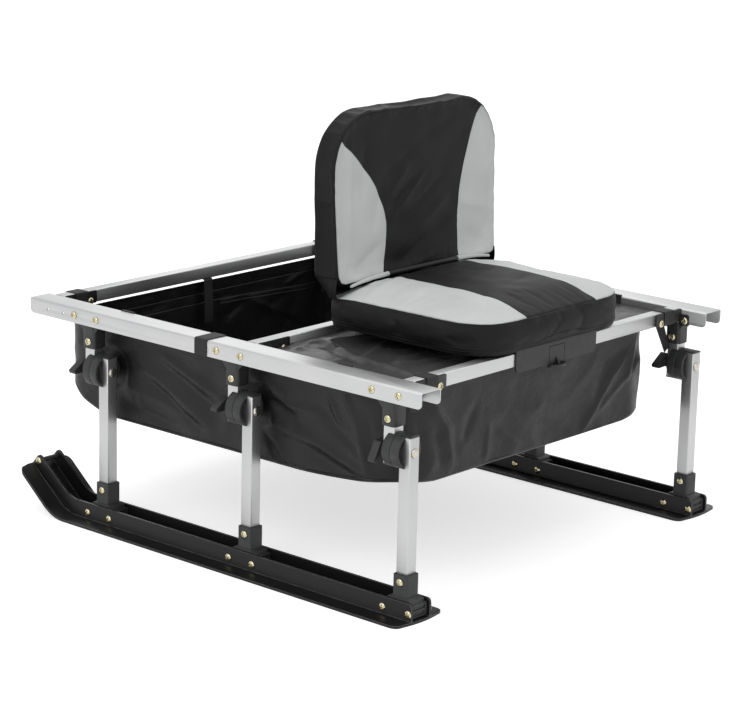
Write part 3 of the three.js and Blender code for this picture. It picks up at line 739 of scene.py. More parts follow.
def ski_socket_template():
    low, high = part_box("left_front_ski_socket")
    half_width = (high.y - low.y) / 2
    outline = rounded_square(SOCKET_HALF, SKI_SLEEVE_CORNER)
    socket = piece("socket", run_out(outline, low.z + SKI_SLEEVE_START, high.z, "z"), MOULDING)
    shoulder = SKI_BLOCK_TOP - SKI_BLOCK_STEP
    base = rounded_rectangle(-SKI_BLOCK_HALF, SKI_BLOCK_HALF, low.z, shoulder, SKI_BLOCK_RADIUS)
    block = run_out(base, -half_width, half_width, "y")
    raised = symmetric([
        (SKI_BLOCK_HALF - SKI_STEP_INSETS[0], shoulder - SKI_STEP_OVERLAP, 0),
        (SKI_BLOCK_HALF - SKI_STEP_INSETS[1], SKI_BLOCK_TOP, SKI_STEP_RADII[0]),
        (SOCKET_HALF + SKI_STEP_NECK, SKI_SOCKET_BASE, SKI_STEP_RADII[1]),
    ], steps=4)
    step = run_out(raised, SKI_STEP_INSET - half_width, half_width - SKI_STEP_INSET, "y")
    combined(socket, "UNION", [block, step])
    tools = [box_form(*BORE, low.z + SKI_BORE_FLOOR, BEYOND)]
    reach = half_width - 2 * SKI_STEP_INSET
    for way in (-1, 1):
        depth = span(way, SKI_BLOCK_HALF - SKI_GROOVE_DEPTH, BEYOND)
        for height in SKI_GROOVE_HEIGHTS:
            tools.append(box_form(*depth, -reach, reach, height, height + SKI_GROOVE))
    combined(socket, "DIFFERENCE", tools)
    return bevelled(socket, MOULDING_BEVEL)


# Clamp knuckles: two cupped halves face to face, each holding its leg

KNUCKLE_RADIUS = 0.0323
KNUCKLE_INNER = 0.027
KNUCKLE_WEB = 0.00565
KNUCKLE_CAP_HALF = 0.0125
KNUCKLE_CAP_FOOT = 0.5
KNUCKLE_CAP_STEPS = 10
KNUCKLE_CAP_OVERLAP = 0.001
KNUCKLE_CHAMFER = 0.0008
KNUCKLE_SEAM_CHAMFER = 0.0012
KNUCKLE_FLOOR_CHAMFER = 0.002
KNUCKLE_STEPS = 72
BOLT_RADIUS = 0.005
SEAM_HALF = CLEARANCE / 2


def knuckle_template():
    leg_near = KNUCKLE_WEB + CLEARANCE
    leg_middle = leg_near + TUBE_SIDE / 2
    leg_far = leg_near + TUBE_SIDE
    rim = leg_middle - KNUCKLE_CHAMFER
    profile = [
        (0, SEAM_HALF),
        (KNUCKLE_RADIUS - KNUCKLE_SEAM_CHAMFER, SEAM_HALF),
        (KNUCKLE_RADIUS, SEAM_HALF + KNUCKLE_CHAMFER),
        (KNUCKLE_RADIUS, rim),
        (KNUCKLE_RADIUS - KNUCKLE_CHAMFER, leg_middle),
        (KNUCKLE_INNER + KNUCKLE_CHAMFER, leg_middle),
        (KNUCKLE_INNER, rim),
        (KNUCKLE_INNER, KNUCKLE_WEB + KNUCKLE_FLOOR_CHAMFER),
        (KNUCKLE_INNER - KNUCKLE_FLOOR_CHAMFER, KNUCKLE_WEB),
        (0, KNUCKLE_WEB),
    ]
    half = piece("knuckle", turned(profile, KNUCKLE_STEPS), MOULDING)
    half.data.transform(Matrix.Rotation(math.pi / 2, 4, "Y"))
    foot = KNUCKLE_CAP_FOOT * KNUCKLE_INNER
    roof = [(KNUCKLE_CAP_HALF, foot), (-KNUCKLE_CAP_HALF, foot)]
    reach = math.asin(KNUCKLE_CAP_HALF / KNUCKLE_RADIUS)
    for step in range(KNUCKLE_CAP_STEPS + 1):
        turn = reach * (2 * step / KNUCKLE_CAP_STEPS - 1)
        roof.append((KNUCKLE_RADIUS * math.sin(turn), KNUCKLE_RADIUS * math.cos(turn)))
    combined(half, "UNION", [run_out(roof, leg_near - KNUCKLE_CAP_OVERLAP, leg_far, "x")])
    top = KNUCKLE_INNER + 2 * CLEARANCE
    pocket = box_form(leg_near - CLEARANCE, BEYOND, -BORE_HALF, BORE_HALF, -BEYOND, top)
    combined(half, "DIFFERENCE", [pocket])
    return bevelled(half, MOULDING_BEVEL, degrees=40)


# Clamp levers and the domed bolts that they turn

LEVER_WIDTH = 0.016
LEVER_HUB = 0.013
LEVER_OUTLINE = (
    (0.0013, 0.0117, 0), (-0.010, 0.018, 0.002), (-0.042, -0.003, 0.003), (-0.038, -0.009, 0.002),
    (-0.015, -0.008, 0.003), (-0.0078, -0.0098, 0),
)
LEVER_BEVEL = 0.0012
DROPPED_LEVER = 28
SHANK_OVERLAP = 0.001
BOLT_HEAD = 0.0092
BOLT_HEAD_HEIGHT = 0.0038
# The dome's radius as a share of the head's, with its height in metres
BOLT_DOME = ((1, 0.0006), (0.97, 0.0016), (0.82, 0.0028), (0.55, 0.0035), (0.25, 0.0038))


def add_clamp(side_name, side, station):
    node = f"{side_name}_{station}_clamp_lever"
    body = f"{side_name}_{station}_clamp"
    low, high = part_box(node)
    direction = 1 if side_name == "right" and station != "rear" else -1
    points = [(-direction * a, b, radius) for a, b, radius in LEVER_OUTLINE]
    turn = DROPPED_LEVER if side_name == "left" and station == "rear" else 0
    place = Matrix.Translation((0, side * SIDE_Y, PIVOT_Z)) @ Matrix.Rotation(math.radians(turn), 4, "X")
    end = low.x + LEVER_WIDTH
    lever = piece(f"{node}_arm", run_out(filleted(points, steps=5), low.x, end, "x"), LEVER)
    combined(lever, "UNION", [run_out(circle(LEVER_HUB, steps=40), low.x, end, "x")])
    shank = run_out(circle(BOLT_RADIUS, steps=16), end - SHANK_OVERLAP, high.x - SHANK_OVERLAP, "x")
    combined(lever, "UNION", [shank])
    bevelled(lever, LEVER_BEVEL, segments=3)
    lever.data.transform(place)
    dressed(lever, body, node)
    head = [(0, 0), (BOLT_HEAD - BOLT_DOME[0][1], 0)]
    head += [(BOLT_HEAD * share, height) for share, height in BOLT_DOME] + [(0, BOLT_HEAD_HEIGHT)]
    bolt = piece(f"{side_name}_{station}_clamp_bolt", turned(head, steps=40), BOLT_ZINC)
    seat = Matrix.Translation((high.x - BOLT_HEAD_HEIGHT, 0, 0))
    bolt.data.transform(place @ seat @ Matrix.Rotation(math.pi / 2, 4, "Y"))
    dressed(bolt, body)


def add_station_parts():
    upper_socket = upper_socket_template()
    ski_socket = ski_socket_template()
    knuckle = knuckle_template()
    half_turn = Matrix.Rotation(math.pi, 4, "Y")
    for side_name, side in SIDES.items():
        for station in STATIONS:
            label = f"{side_name}_{station}"
            y = side * SIDE_Y
            seam = (UPPER_X[station] + LOWER_X[station]) / 2
            made = {
                "upper_socket": (upper_socket, Matrix.Translation((UPPER_X[station], y, 0)), "upper"),
                "ski_socket": (ski_socket, Matrix.Translation((LOWER_X[station], y, 0)), "lower"),
                "upper_knuckle": (knuckle, Matrix.Translation((seam, y, PIVOT_Z)) @ half_turn, "upper"),
                "lower_knuckle": (knuckle, Matrix.Translation((seam, y, PIVOT_Z)), "lower"),
            }
            for part, (template, place, carrier) in made.items():
                moulding = stamped(f"{label}_{part}_moulding", template, [place])
                dressed(moulding, body_of(side_name, carrier), f"{label}_{part}")
            add_clamp(side_name, side, station)
    for template in (upper_socket, ski_socket, knuckle):
        bpy.data.objects.remove(template)


add_station_parts()


# Skis

SKI_BASE = 0.005
SKI_WEB_SPACING = 0.0544
SKI_WEB = 0.0045
SKI_WEB_TOP = 0.0375
SKI_WEB_TIP = 0.034
SKI_TAIL = 0.495
SKI_WEB_TAIL = 0.492
SKI_BEND_START = -0.3676
SKI_BEND_RADIUS = 0.090
SKI_BEND_ANGLE = math.radians(39.5)
SKI_RAMP = 0.0971
SKI_TAIL_RADIUS = 0.018
SKI_TIP_RADIUS = 0.014
SKI_BOW = 0.005
SKI_WEB_ROUND = 0.010
SKI_BEND_STEPS = 14
SKI_END_STEPS = 10
SKI_BEVEL = 0.0011
SPACER_BEVEL = 0.0005


def ski_bend(height):
    """Points of the bend at a height over the sole, from the flat to the ramp"""
    radius = SKI_BEND_RADIUS - height
    points = []
    for step in range(SKI_BEND_STEPS + 1):
        turn = SKI_BEND_ANGLE * step / SKI_BEND_STEPS
        points.append((SKI_BEND_START - radius * math.sin(turn), SKI_BEND_RADIUS - radius * math.cos(turn)))
    return points


def ramp_point(along, height):
    """A point up the ramp from its foot, at a height over the sole"""
    x, z = ski_bend(height)[-1]
    return x - along * math.cos(SKI_BEND_ANGLE), z + along * math.sin(SKI_BEND_ANGLE)


def curve(start, control, end, steps=SKI_END_STEPS):
    """Points of a quadratic curve, without its start"""
    start, control, end = Vector(start), Vector(control), Vector(end)
    shares = [step / steps for step in range(1, steps + 1)]
    return [tuple(start * (1 - t) ** 2 + control * (2 * t * (1 - t)) + end * t ** 2) for t in shares]


def ski_plan():
    reach = (SKI_HIGH.y - SKI_LOW.y) / 2
    tip, _ = ramp_point(SKI_RAMP, 0)
    points = []
    for x, radius, way in ((SKI_TAIL, SKI_TAIL_RADIUS, 1), (tip, SKI_TIP_RADIUS, -1)):
        edge = x - way * SKI_BOW
        start = (edge - way * radius, -way * reach)
        corner_end = (edge, -way * (reach - radius))
        far = (edge, way * (reach - radius))
        points += [start] + curve(start, (edge, -way * reach), corner_end)
        points += curve(corner_end, (x + way * SKI_BOW, 0), far)
        points += curve(far, (edge, way * reach), (edge - way * radius, way * reach))
    return points


def ski_template():
    sole = [(SKI_TAIL, SKI_BASE), (SKI_TAIL, 0)] + ski_bend(0) + [ramp_point(SKI_RAMP, 0)]
    sole += [ramp_point(SKI_RAMP, SKI_BASE)] + ski_bend(SKI_BASE)[::-1]
    reach = SKI_HIGH.y - SKI_LOW.y
    ski = piece("ski", run_out(sole, -reach, reach, "y"), SKI)
    combined(ski, "INTERSECT", [run_out(ski_plan(), -BEYOND, BEYOND, "z")])
    foot = SKI_BASE / 2
    web = [(SKI_WEB_TAIL, SKI_WEB_TOP - SKI_WEB_ROUND), (SKI_WEB_TAIL, foot)] + ski_bend(foot)
    web += [ramp_point(SKI_RAMP, foot)]
    ear = ramp_point(SKI_RAMP, SKI_WEB_TIP)
    rise = ramp_point(SKI_RAMP, SKI_WEB_TIP - SKI_WEB_ROUND)
    web += [rise] + curve(rise, ear, ramp_point(SKI_RAMP - SKI_WEB_ROUND, SKI_WEB_TIP))
    web += ski_bend(SKI_WEB_TOP)[::-1]
    start = (SKI_WEB_TAIL - SKI_WEB_ROUND, SKI_WEB_TOP)
    web += [start] + curve(start, (SKI_WEB_TAIL, SKI_WEB_TOP), web[0])[:-1]
    webs = []
    for side in SIDES.values():
        depth = span(side, SKI_WEB_SPACING / 2 - SKI_WEB, SKI_WEB_SPACING / 2)
        webs.append(run_out(web, *depth, "y"))
    combined(ski, "UNION", webs)
    # The bevels take the paler edge finish: painted highlight lines along the ski's edges, partly rubbed wear
    return bevelled(ski, SKI_BEVEL, segments=3, degrees=40, edge_finish=SKI_HIGHLIGHT_EDGE)


def add_skis():
    template = ski_template()
    for side_name, side in SIDES.items():
        ski = stamped(f"{side_name}_ski_board", template, [Matrix.Translation((0, side * SIDE_Y, 0))])
        dressed(ski, f"{side_name}_runner", f"{side_name}_ski")
        low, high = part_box(f"{side_name}_tip_spacer")
        x, _, z = centre(f"{side_name}_tip_spacer")
        form = run_out(circle((high.z - low.z) / 2, steps=24, a=x, b=z), low.y, high.y, "y")
        bar = bevelled(piece(f"{side_name}_tip_bar", form, MOULDING), SPACER_BEVEL)
        dressed(bar, f"{side_name}_runner", f"{side_name}_tip_spacer")
    bpy.data.objects.remove(template)


add_skis()


# Screws

SCREW_RADIUS = 0.0074
SCREW_HEIGHT = 0.0032
RAIL_SCREW_OFFSET = 0.0307
RAIL_SCREW_Z = 0.407
SLEEVE_SCREW_Z = 0.358
SKI_SLEEVE_SCREW_Z = 0.0665
WEB_SCREW_OFFSET = 0.030
WEB_SCREW_Z = 0.0174
BRACKET_SCREW_Y = 0.337
BRACKET_SCREW_Z = 0.4015
FOOT_SCREW_Z = 0.3985
FOOT_SCREW_OFFSET = 0.013
# The head's radius and height as shares of the screw's
SCREW_DOME = ((0.94, 0.0), (1.0, 0.12), (0.99, 0.26), (0.9, 0.52), (0.72, 0.78), (0.5, 0.92), (0.25, 0.985))
SCREW_SEED = 7
CROSS_REACH = 0.6
CROSS_HALF = 0.15
CROSS_FLOOR = 0.2


def screw_template():
    """A truss head with a cross recess, standing on z = 0"""
    profile = [(SCREW_RADIUS * r, SCREW_HEIGHT * h) for r, h in ((0, 0), *SCREW_DOME, (0, 1))]
    screw = piece("screw", turned(profile, steps=28), YELLOW_ZINC)
    arm, width = SCREW_RADIUS * CROSS_REACH, SCREW_RADIUS * CROSS_HALF
    floor = SCREW_HEIGHT * CROSS_FLOOR
    cross = [box_form(-a, a, -b, b, floor, BEYOND) for a, b in ((arm, width), (width, arm))]
    return combined(screw, "DIFFERENCE", cross)


def facing(x, y, z, direction, spin):
    """The place of a screw on a face that looks along a direction"""
    turn = Vector(direction).to_track_quat("Z", "Y").to_matrix().to_4x4()
    return Matrix.Translation((x, y, z)) @ turn @ Matrix.Rotation(spin, 4, "Z")


def add_screws():
    template = screw_template()
    picker = random.Random(SCREW_SEED)
    rail_outer = SIDE_Y + RAIL_WIDTH / 2
    web_outer = SKI_WEB_SPACING / 2
    for side_name, side in SIDES.items():
        y = side * SIDE_Y
        on_frame, on_runner = [], []
        for station in STATIONS:
            upper, lower = UPPER_X[station], LOWER_X[station]
            for way in (-1, 1):
                x = upper + way * RAIL_SCREW_OFFSET
                on_frame.append((x, side * rail_outer, RAIL_SCREW_Z, (0, side, 0)))
                on_frame.append((upper, y + way * SOCKET_HALF, SLEEVE_SCREW_Z, (0, way, 0)))
                on_runner.append((lower, y + way * SOCKET_HALF, SKI_SLEEVE_SCREW_Z, (0, way, 0)))
                for face in (-1, 1):
                    x = lower + way * WEB_SCREW_OFFSET
                    on_runner.append((x, y + face * web_outer, WEB_SCREW_Z, (0, face, 0)))
            tube_face = TUBE_X[station] + TUBE_SIDE / 2
            arm = tube_face + BRACKET_THICKNESS + CLEARANCE / 3
            foot = side * (FLANGE_FACE - CLEARANCE - BRACKET_THICKNESS)
            on_frame.append((arm, side * BRACKET_SCREW_Y, BRACKET_SCREW_Z, (1, 0, 0)))
            on_frame.append((tube_face + FOOT_SCREW_OFFSET, foot, FOOT_SCREW_Z, (0, -side, 0)))
        spacer = centre(f"{side_name}_tip_spacer")
        for face in (-1, 1):
            on_runner.append((spacer.x, y + face * web_outer, spacer.z, (0, face, 0)))
        for group, body in ((on_frame, "frame"), (on_runner, f"{side_name}_runner")):
            places = [facing(*place, picker.uniform(0, math.pi)) for place in group]
            screws = shaded(stamped(f"{side_name}_{body}_screws", template, places), degrees=24)
            dressed(screws, body)
    bpy.data.objects.remove(template)


add_screws()


# Thickened cloth: a bmesh sheet with a stored normal for each point

def normals_stored(form, axis=None):
    """Keeps each point's normal in a layer, turned so that it looks outward at the axis's lowest point"""
    form.normal_update()
    layer = form.verts.layers.float_vector.new("outward")
    sign = 1
    if axis is not None and min(form.verts, key=lambda vert: vert.co[axis]).normal[axis] > 0:
        sign = -1
    for vert in form.verts:
        vert[layer] = vert.normal * sign
    return layer


def thickened(form, layer, thickness):
    """Adds the back of a sheet, against its stored normals, and closes its edges"""
    front = list(form.faces)
    back = {}
    for vert in list(form.verts):
        back[vert] = form.verts.new(vert.co - vert[layer] * thickness, vert)
        back[vert][layer] = -vert[layer]
    for edge in [edge for edge in form.edges if len(edge.link_faces) == 1]:
        first, second = edge.link_loops[0].vert, edge.link_loops[0].link_loop_next.vert
        form.faces.new((second, first, back[first], back[second]))
    for face in front:
        form.faces.new([back[vert] for vert in reversed(face.verts)])


def cloth_piece(name, form, layer, finish):
    """An object from a thickened sheet, shaded by the stored normals so that halves meet smoothly"""
    form.verts.index_update()
    normals = [tuple(vert[layer]) for vert in form.verts]
    mesh = bpy.data.meshes.new(name)
    form.to_mesh(mesh)
    form.free()
    mesh.materials.append(finish)
    mesh.polygons.foreach_set("use_smooth", [True] * len(mesh.polygons))
    mesh.normals_split_custom_set_from_vertices(normals)
    return link(bpy.data.objects.new(name, mesh))


# Soft folds, as strokes (a0, b0, a1, b1, width, height) over a face's two axes, in millimetres

MM_PER_METRE = 1000


def folds(across, along, strokes):
    """The height that the strokes add at each point, faded at their ends"""
    total = np.zeros(np.shape(across))
    for a0, b0, a1, b1, width, height in np.array(strokes) / MM_PER_METRE:
        run = np.array([a1 - a0, b1 - b0])
        length = np.linalg.norm(run)
        share = ((across - a0) * run[0] + (along - b0) * run[1]) / length ** 2
        off = ((across - a0) * run[1] - (along - b0) * run[0]) / length
        fade = np.exp(-((share - 0.5) / 0.5) ** 4)
        total += height * np.exp(-np.abs(off / width) ** 1.6) * fade
    return total


def rumple(points, height, scale, seed):
    """Smooth noise of a height at each point"""
    shift = Vector((seed, seed * 1.7, seed * 0.6))
    return height * np.array([noise.noise(Vector(point) * scale + shift) for point in points])


def ridges(points, height, scale, seed, floor):
    """Sharp crests where the noise crosses zero, cut off at a floor"""
    return height * np.maximum(1 - 3 * np.abs(rumple(points, 1, scale, seed)), floor)


def smooth_step(value):
    share = np.clip(value, 0, 1)
    return share * share * (3 - 2 * share)


# Cargo tub: a hung shell with folds, in two halves

TUB_FRONT_RADIUS = 0.058
TUB_REAR_RADIUS = 0.105
TUB_EDGE = 0.009
TUB_DRAFT = 0.003
TUB_TOP = 0.388
TUB_FRONT, TUB_REAR = -0.475, 0.402
TUB_HALF = 0.3972
TUB_BOTTOM = 0.1965
TUB_REAR_RISE = 0.0085
TUB_REAR_RISE_X = (0.300, 0.390)
TUB_CORNER_RISE = 0.021
TUB_CORNER_REACH = 0.25
TUB_CORNER_POWER = 1.5
TUB_FRONT_CORNER_RISE = 0.060
TUB_FRONT_CORNER_REACH = 0.15
TUB_FRONT_CORNER_POWER = 2
TUB_CLOTH_THICKNESS = 0.0012
TUB_SAG = 0.006
TUB_ROUND_STEPS = 840
TUB_WALL_STEPS = 46
TUB_EDGE_STEPS = 7
TUB_FLOOR_RINGS = 20
TUB_HEM = 0.024
TUB_LOW_SEAM = 0.0075
TUB_EDGE_CALM = 0.7
TUB_FLOOR_END = 0.998
TUB_FLOOR_FADE = 5
TUB_SAG_POWER = 0.8
# Noise as (height, scale, seed), and for ridges the share of the height at which they are cut off
TUB_SWELL = (0.0040, 5.5, 1.3)
TUB_SWELL_STRETCH = (1, 1, 1.5)
TUB_RIDGES = (0.0022, 11, 4.6, -0.4)
TUB_GRAIN = (0.0007, 34, 2.2)
TUB_FLOOR_SWELL = (0.004, 6, 9.1)
TUB_FLOOR_GRAIN = (0.0014, 21, 2.1)
TUB_RELIEF_LIMIT = 0.007
# How fast the relief fades in below the rim and out at the edge, and the share of the drop where it ends
TUB_RELIEF_FADES = (4, 9)
TUB_RELIEF_END = 1.02
# The least part of an axis in the outward direction of a wall that faces along it
FACING = 0.9
KNUCKLE_ROOM = 0.035
KNUCKLE_CLEARANCE = 0.001
KNUCKLE_ROOM_SLOPE = 0.4
POCKET_DEPTH = 0.0018
POCKET_TOP = 0.3435
POCKET_FALL = 0.0095
POCKET_FALL_START = 0.04
POCKET_FALL_RUN = 0.3
POCKET_HALF = 0.34
POCKET_SEAM_GAP = 0.009
POCKET_SEAM_STEP = 0.003
POCKET_EDGE_Y = 0.0445
POCKET_EDGE_STEP = 0.004

# The left wall's folds as (x, z), the right wall's too, the rear and front walls' as (y, z)
LEFT_WALL_FOLDS = (
    (-330, 276, -86, 246, 16, 5), (-245, 320, -70, 238, 12, 6.4), (-235, 300, -95, 228, 10, -5.5),
    (-225, 358, -34, 294, 12, 6), (-200, 338, -45, 268, 12, -6), (-300, 240, -150, 214, 12, -4),
    (55, 350, 142, 314, 8, 6), (130, 317, 210, 316, 8, 4.5), (80, 325, 165, 285, 13, -6),
    (62, 278, 200, 261, 9, 6), (190, 263, 335, 221, 9, 5.8), (180, 242, 310, 208, 12, -4.5),
    (232, 356, 262, 302, 7, 4.5), (270, 374, 300, 312, 7, 5.5), (296, 316, 331, 219, 7, 5),
    (318, 335, 345, 240, 9, -4.5), (74, 257, 119, 213, 10, -4.5), (215, 330, 290, 270, 14, -4.5),
)
RIGHT_WALL_FOLDS = (
    (-310, 340, -120, 262, 12, 5), (-200, 290, -60, 226, 11, -4.5), (70, 340, 200, 290, 11, 4.8),
    (110, 280, 300, 224, 10, 4.8), (250, 350, 310, 240, 9, -4.5), (-340, 260, -240, 222, 10, 4),
)
REAR_WALL_FOLDS = (
    (-314, 366, -262, 298, 11, 6.8), (-266, 306, -245, 232, 11, 6.8), (-336, 330, -326, 240, 13, -5.5),
    (-290, 300, -272, 236, 9, -4), (312, 368, 228, 300, 8, 6), (234, 306, 146, 212, 8, 6),
    (318, 368, 286, 294, 7, 4.5), (290, 300, 183, 238, 7, 4), (250, 345, 190, 285, 11, -4.5),
    (-140, 282, -144, 215, 8, 4.2), (-112, 266, -50, 229, 7, 4.2), (-180, 330, -214, 266, 11, -5),
    (-60, 300, 60, 262, 14, 3.2), (20, 250, 110, 222, 10, -3.2), (350, 330, 346, 235, 9, 4),
)
FRONT_WALL_FOLDS = (
    (150, 320, 275, 264, 9, -5), (120, 326, 65, 304, 10, 4), (245, 342, 332, 374, 7, -4.5),
    (200, 300, 300, 240, 10, 4.5), (-270, 352, -120, 300, 11, 4), (-200, 300, -50, 256, 10, -5),
)


def resampled(points, count, closed=False):
    """Points spaced evenly along a path"""
    path = np.array(points + points[:1] if closed else points)
    run = np.concatenate([[0], np.cumsum(np.linalg.norm(np.diff(path, axis=0), axis=1))])
    places = np.linspace(0, run[-1], count, endpoint=not closed)
    return np.stack([np.interp(places, run, path[:, axis]) for axis in range(path.shape[1])], 1)


def tub_rim():
    """Points spaced evenly round the tub's plan and the outward direction at each"""
    outline = filleted([
        (TUB_FRONT, 0, 0),
        (TUB_FRONT, -TUB_HALF, TUB_FRONT_RADIUS),
        (TUB_REAR, -TUB_HALF, TUB_REAR_RADIUS),
        (TUB_REAR, TUB_HALF, TUB_REAR_RADIUS),
        (TUB_FRONT, TUB_HALF, TUB_FRONT_RADIUS),
    ], steps=32)
    points = resampled(outline, TUB_ROUND_STEPS, closed=True)
    along = np.roll(points, -1, 0) - np.roll(points, 1, 0)
    outward = np.stack([along[:, 1], -along[:, 0]], 1)
    return points, outward / np.linalg.norm(outward, axis=1, keepdims=True)


def tub_edge_height(points):
    """The height of the tub's lower edge, which rises towards the corners"""
    x, y = points.T
    rear = np.hypot(x - TUB_REAR, np.abs(y) - TUB_HALF) / TUB_CORNER_REACH
    front = np.hypot(x - TUB_FRONT, np.abs(y) - TUB_HALF) / TUB_FRONT_CORNER_REACH
    rise = TUB_CORNER_RISE * np.maximum(1 - rear, 0) ** TUB_CORNER_POWER
    rise += TUB_FRONT_CORNER_RISE * np.maximum(1 - front, 0) ** TUB_FRONT_CORNER_POWER
    start, end = TUB_REAR_RISE_X
    return TUB_BOTTOM + np.maximum(rise, TUB_REAR_RISE * smooth_step((x - start) / (end - start)))


def pocket_seam(y):
    """The height of the inner pocket's upper seam on the front wall"""
    return POCKET_TOP - POCKET_FALL * smooth_step((y - POCKET_FALL_START) / POCKET_FALL_RUN)


def tub_relief(x, y, z, outward):
    """How far the cloth of the walls stands out of its plain form"""
    drop = (TUB_TOP - z) / (TUB_TOP - TUB_BOTTOM)
    fade_in, fade_out = TUB_RELIEF_FADES
    hang = smooth_step(drop * fade_in) * smooth_step((TUB_RELIEF_END - drop) * fade_out)
    points = np.stack([x, y, z], 1)
    relief = rumple(points * TUB_SWELL_STRETCH, *TUB_SWELL)
    relief += ridges(points, *TUB_RIDGES) + rumple(points, *TUB_GRAIN)
    walls = (
        (-outward[:, 1], x, LEFT_WALL_FOLDS),
        (outward[:, 1], x, RIGHT_WALL_FOLDS),
        (outward[:, 0], y, REAR_WALL_FOLDS),
        (-outward[:, 0], y, FRONT_WALL_FOLDS),
    )
    for share, across, strokes in walls:
        relief += folds(across, z, strokes) * np.maximum(share, 0) ** 2
    relief = np.clip(relief * hang, -TUB_RELIEF_LIMIT, TUB_RELIEF_LIMIT)
    for station in STATIONS:
        seam = (UPPER_X[station] + LOWER_X[station]) / 2
        off = np.hypot(x - seam, z - PIVOT_Z)
        room = KNUCKLE_ROOM_SLOPE * np.maximum(off - KNUCKLE_ROOM, 0) - KNUCKLE_CLEARANCE
        relief = np.where(np.abs(outward[:, 1]) > FACING, np.minimum(relief, room), relief)
    below = smooth_step((pocket_seam(y) - z) / POCKET_SEAM_STEP)
    beside = smooth_step((y - POCKET_EDGE_Y) / POCKET_EDGE_STEP + 0.5)
    return relief - POCKET_DEPTH * below * beside * (outward[:, 0] < -FACING)


def tub_fields(y, z, edge, outward):
    """Signed distances from the hem, the low seam and the pocket's seams"""
    far = np.full(len(y), 1.0)
    pocket = z - pocket_seam(y)
    is_front = (outward[:, 0] < -FACING) & (np.abs(y) < POCKET_HALF)
    return {
        "hem_seam": np.where(outward[:, 0] < -0.5, z - TUB_TOP + TUB_HEM, far),
        "low_seam": z - edge - TUB_LOW_SEAM,
        "pocket_seam": np.where(is_front, pocket, far),
        "pocket_low_seam": np.where(is_front & (y > POCKET_EDGE_Y), pocket + POCKET_SEAM_GAP, far),
        "pocket_edge": np.where(is_front & (pocket < 0), y - POCKET_EDGE_Y, far),
    }


def tub_rings():
    """Rings of points from the rim down the walls, round the edge and over the floor, with their fields"""
    rim, outward = tub_rim()
    edge = tub_edge_height(rim)
    rings = []
    fields = []
    for step in range(TUB_WALL_STEPS + TUB_EDGE_STEPS + 1):
        share = min(step / TUB_WALL_STEPS, 1)
        turn = math.pi / 2 * max(step - TUB_WALL_STEPS, 0) / TUB_EDGE_STEPS
        height = TUB_TOP + (edge + TUB_EDGE - TUB_TOP) * share - TUB_EDGE * math.sin(turn)
        inset = TUB_EDGE * (1 - math.cos(turn)) + TUB_DRAFT * share
        stand = tub_relief(rim[:, 0], rim[:, 1], height, outward) * (1 - math.sin(turn) * TUB_EDGE_CALM)
        ring = rim + outward * (stand - inset)[:, None]
        rings.append(np.column_stack([ring, height]))
        fields.append(tub_fields(ring[:, 1], height, edge, outward))
    last = rings[-1]
    middle = np.array([(TUB_REAR + TUB_FRONT) / 2, 0, TUB_BOTTOM])
    for number in range(1, TUB_FLOOR_RINGS + 1):
        share = number / TUB_FLOOR_RINGS
        ring = last + (middle - last) * (share * TUB_FLOOR_END)
        ripple = rumple(ring, *TUB_FLOOR_SWELL) + rumple(ring, *TUB_FLOOR_GRAIN)
        sag = TUB_SAG * math.sin(share * math.pi / 2) ** TUB_SAG_POWER
        ring[:, 2] += ripple * min(1, share * TUB_FLOOR_FADE) - sag
        rings.append(ring)
        fields.append({name: np.full(TUB_ROUND_STEPS, 1.0) for name in fields[0]})
    return rings, fields


def tub_form():
    form = bmesh.new()
    rings, fields = tub_rings()
    layers = {name: form.verts.layers.float.new(name) for name in fields[0]}
    made = []
    for ring, ring_fields in zip(rings, fields):
        row = [form.verts.new(point) for point in ring]
        for name, layer in layers.items():
            for vert, value in zip(row, ring_fields[name]):
                vert[layer] = value
        made.append(row)
    joined(form, made)
    form.faces.new(made[-1])
    return form


def add_tub():
    form = tub_form()
    bmesh.ops.recalc_face_normals(form, faces=form.faces)
    normals_stored(form, axis=2)
    for side_name, side in SIDES.items():
        half = form.copy()
        half_layer = half.verts.layers.float_vector["outward"]
        everything = half.verts[:] + half.edges[:] + half.faces[:]
        bmesh.ops.bisect_plane(
            half, geom=everything, plane_co=(0, 0, 0), plane_no=(0, side, 0), clear_inner=True, dist=1e-6,
        )
        thickened(half, half_layer, TUB_CLOTH_THICKNESS)
        cloth = cloth_piece(f"{side_name}_tub_half", half, half_layer, TUB_CLOTH)
        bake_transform(cloth)
        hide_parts("cargo_tub")
    form.free()


add_tub()


# Tub hangers: webbing sewn to the wall, laid over the rail's top and hooked down through its slot

HANGER_WALL_Z = 0.376
HANGER_TURN_Z = 0.388
HANGER_HOOK_Z = 0.395


def strip(path, thickness):
    """The outline of a strip of even thickness along a path of (a, b) points"""
    edges = [[], []]
    for index, point in enumerate(path):
        here = Vector(point)
        before = Vector(path[max(index - 1, 0)])
        after = Vector(path[min(index + 1, len(path) - 1)])
        ways = [way.normalized() for way in (here - before, after - here) if way.length]
        normals = [Vector((-way.y, way.x)) for way in ways]
        mean = sum(normals, Vector((0, 0))).normalized()
        offset = mean * (thickness / 2 / mean.dot(normals[0]))
        edges[0].append(tuple(here + offset))
        edges[1].append(tuple(here - offset))
    return edges[0] + edges[1][::-1]


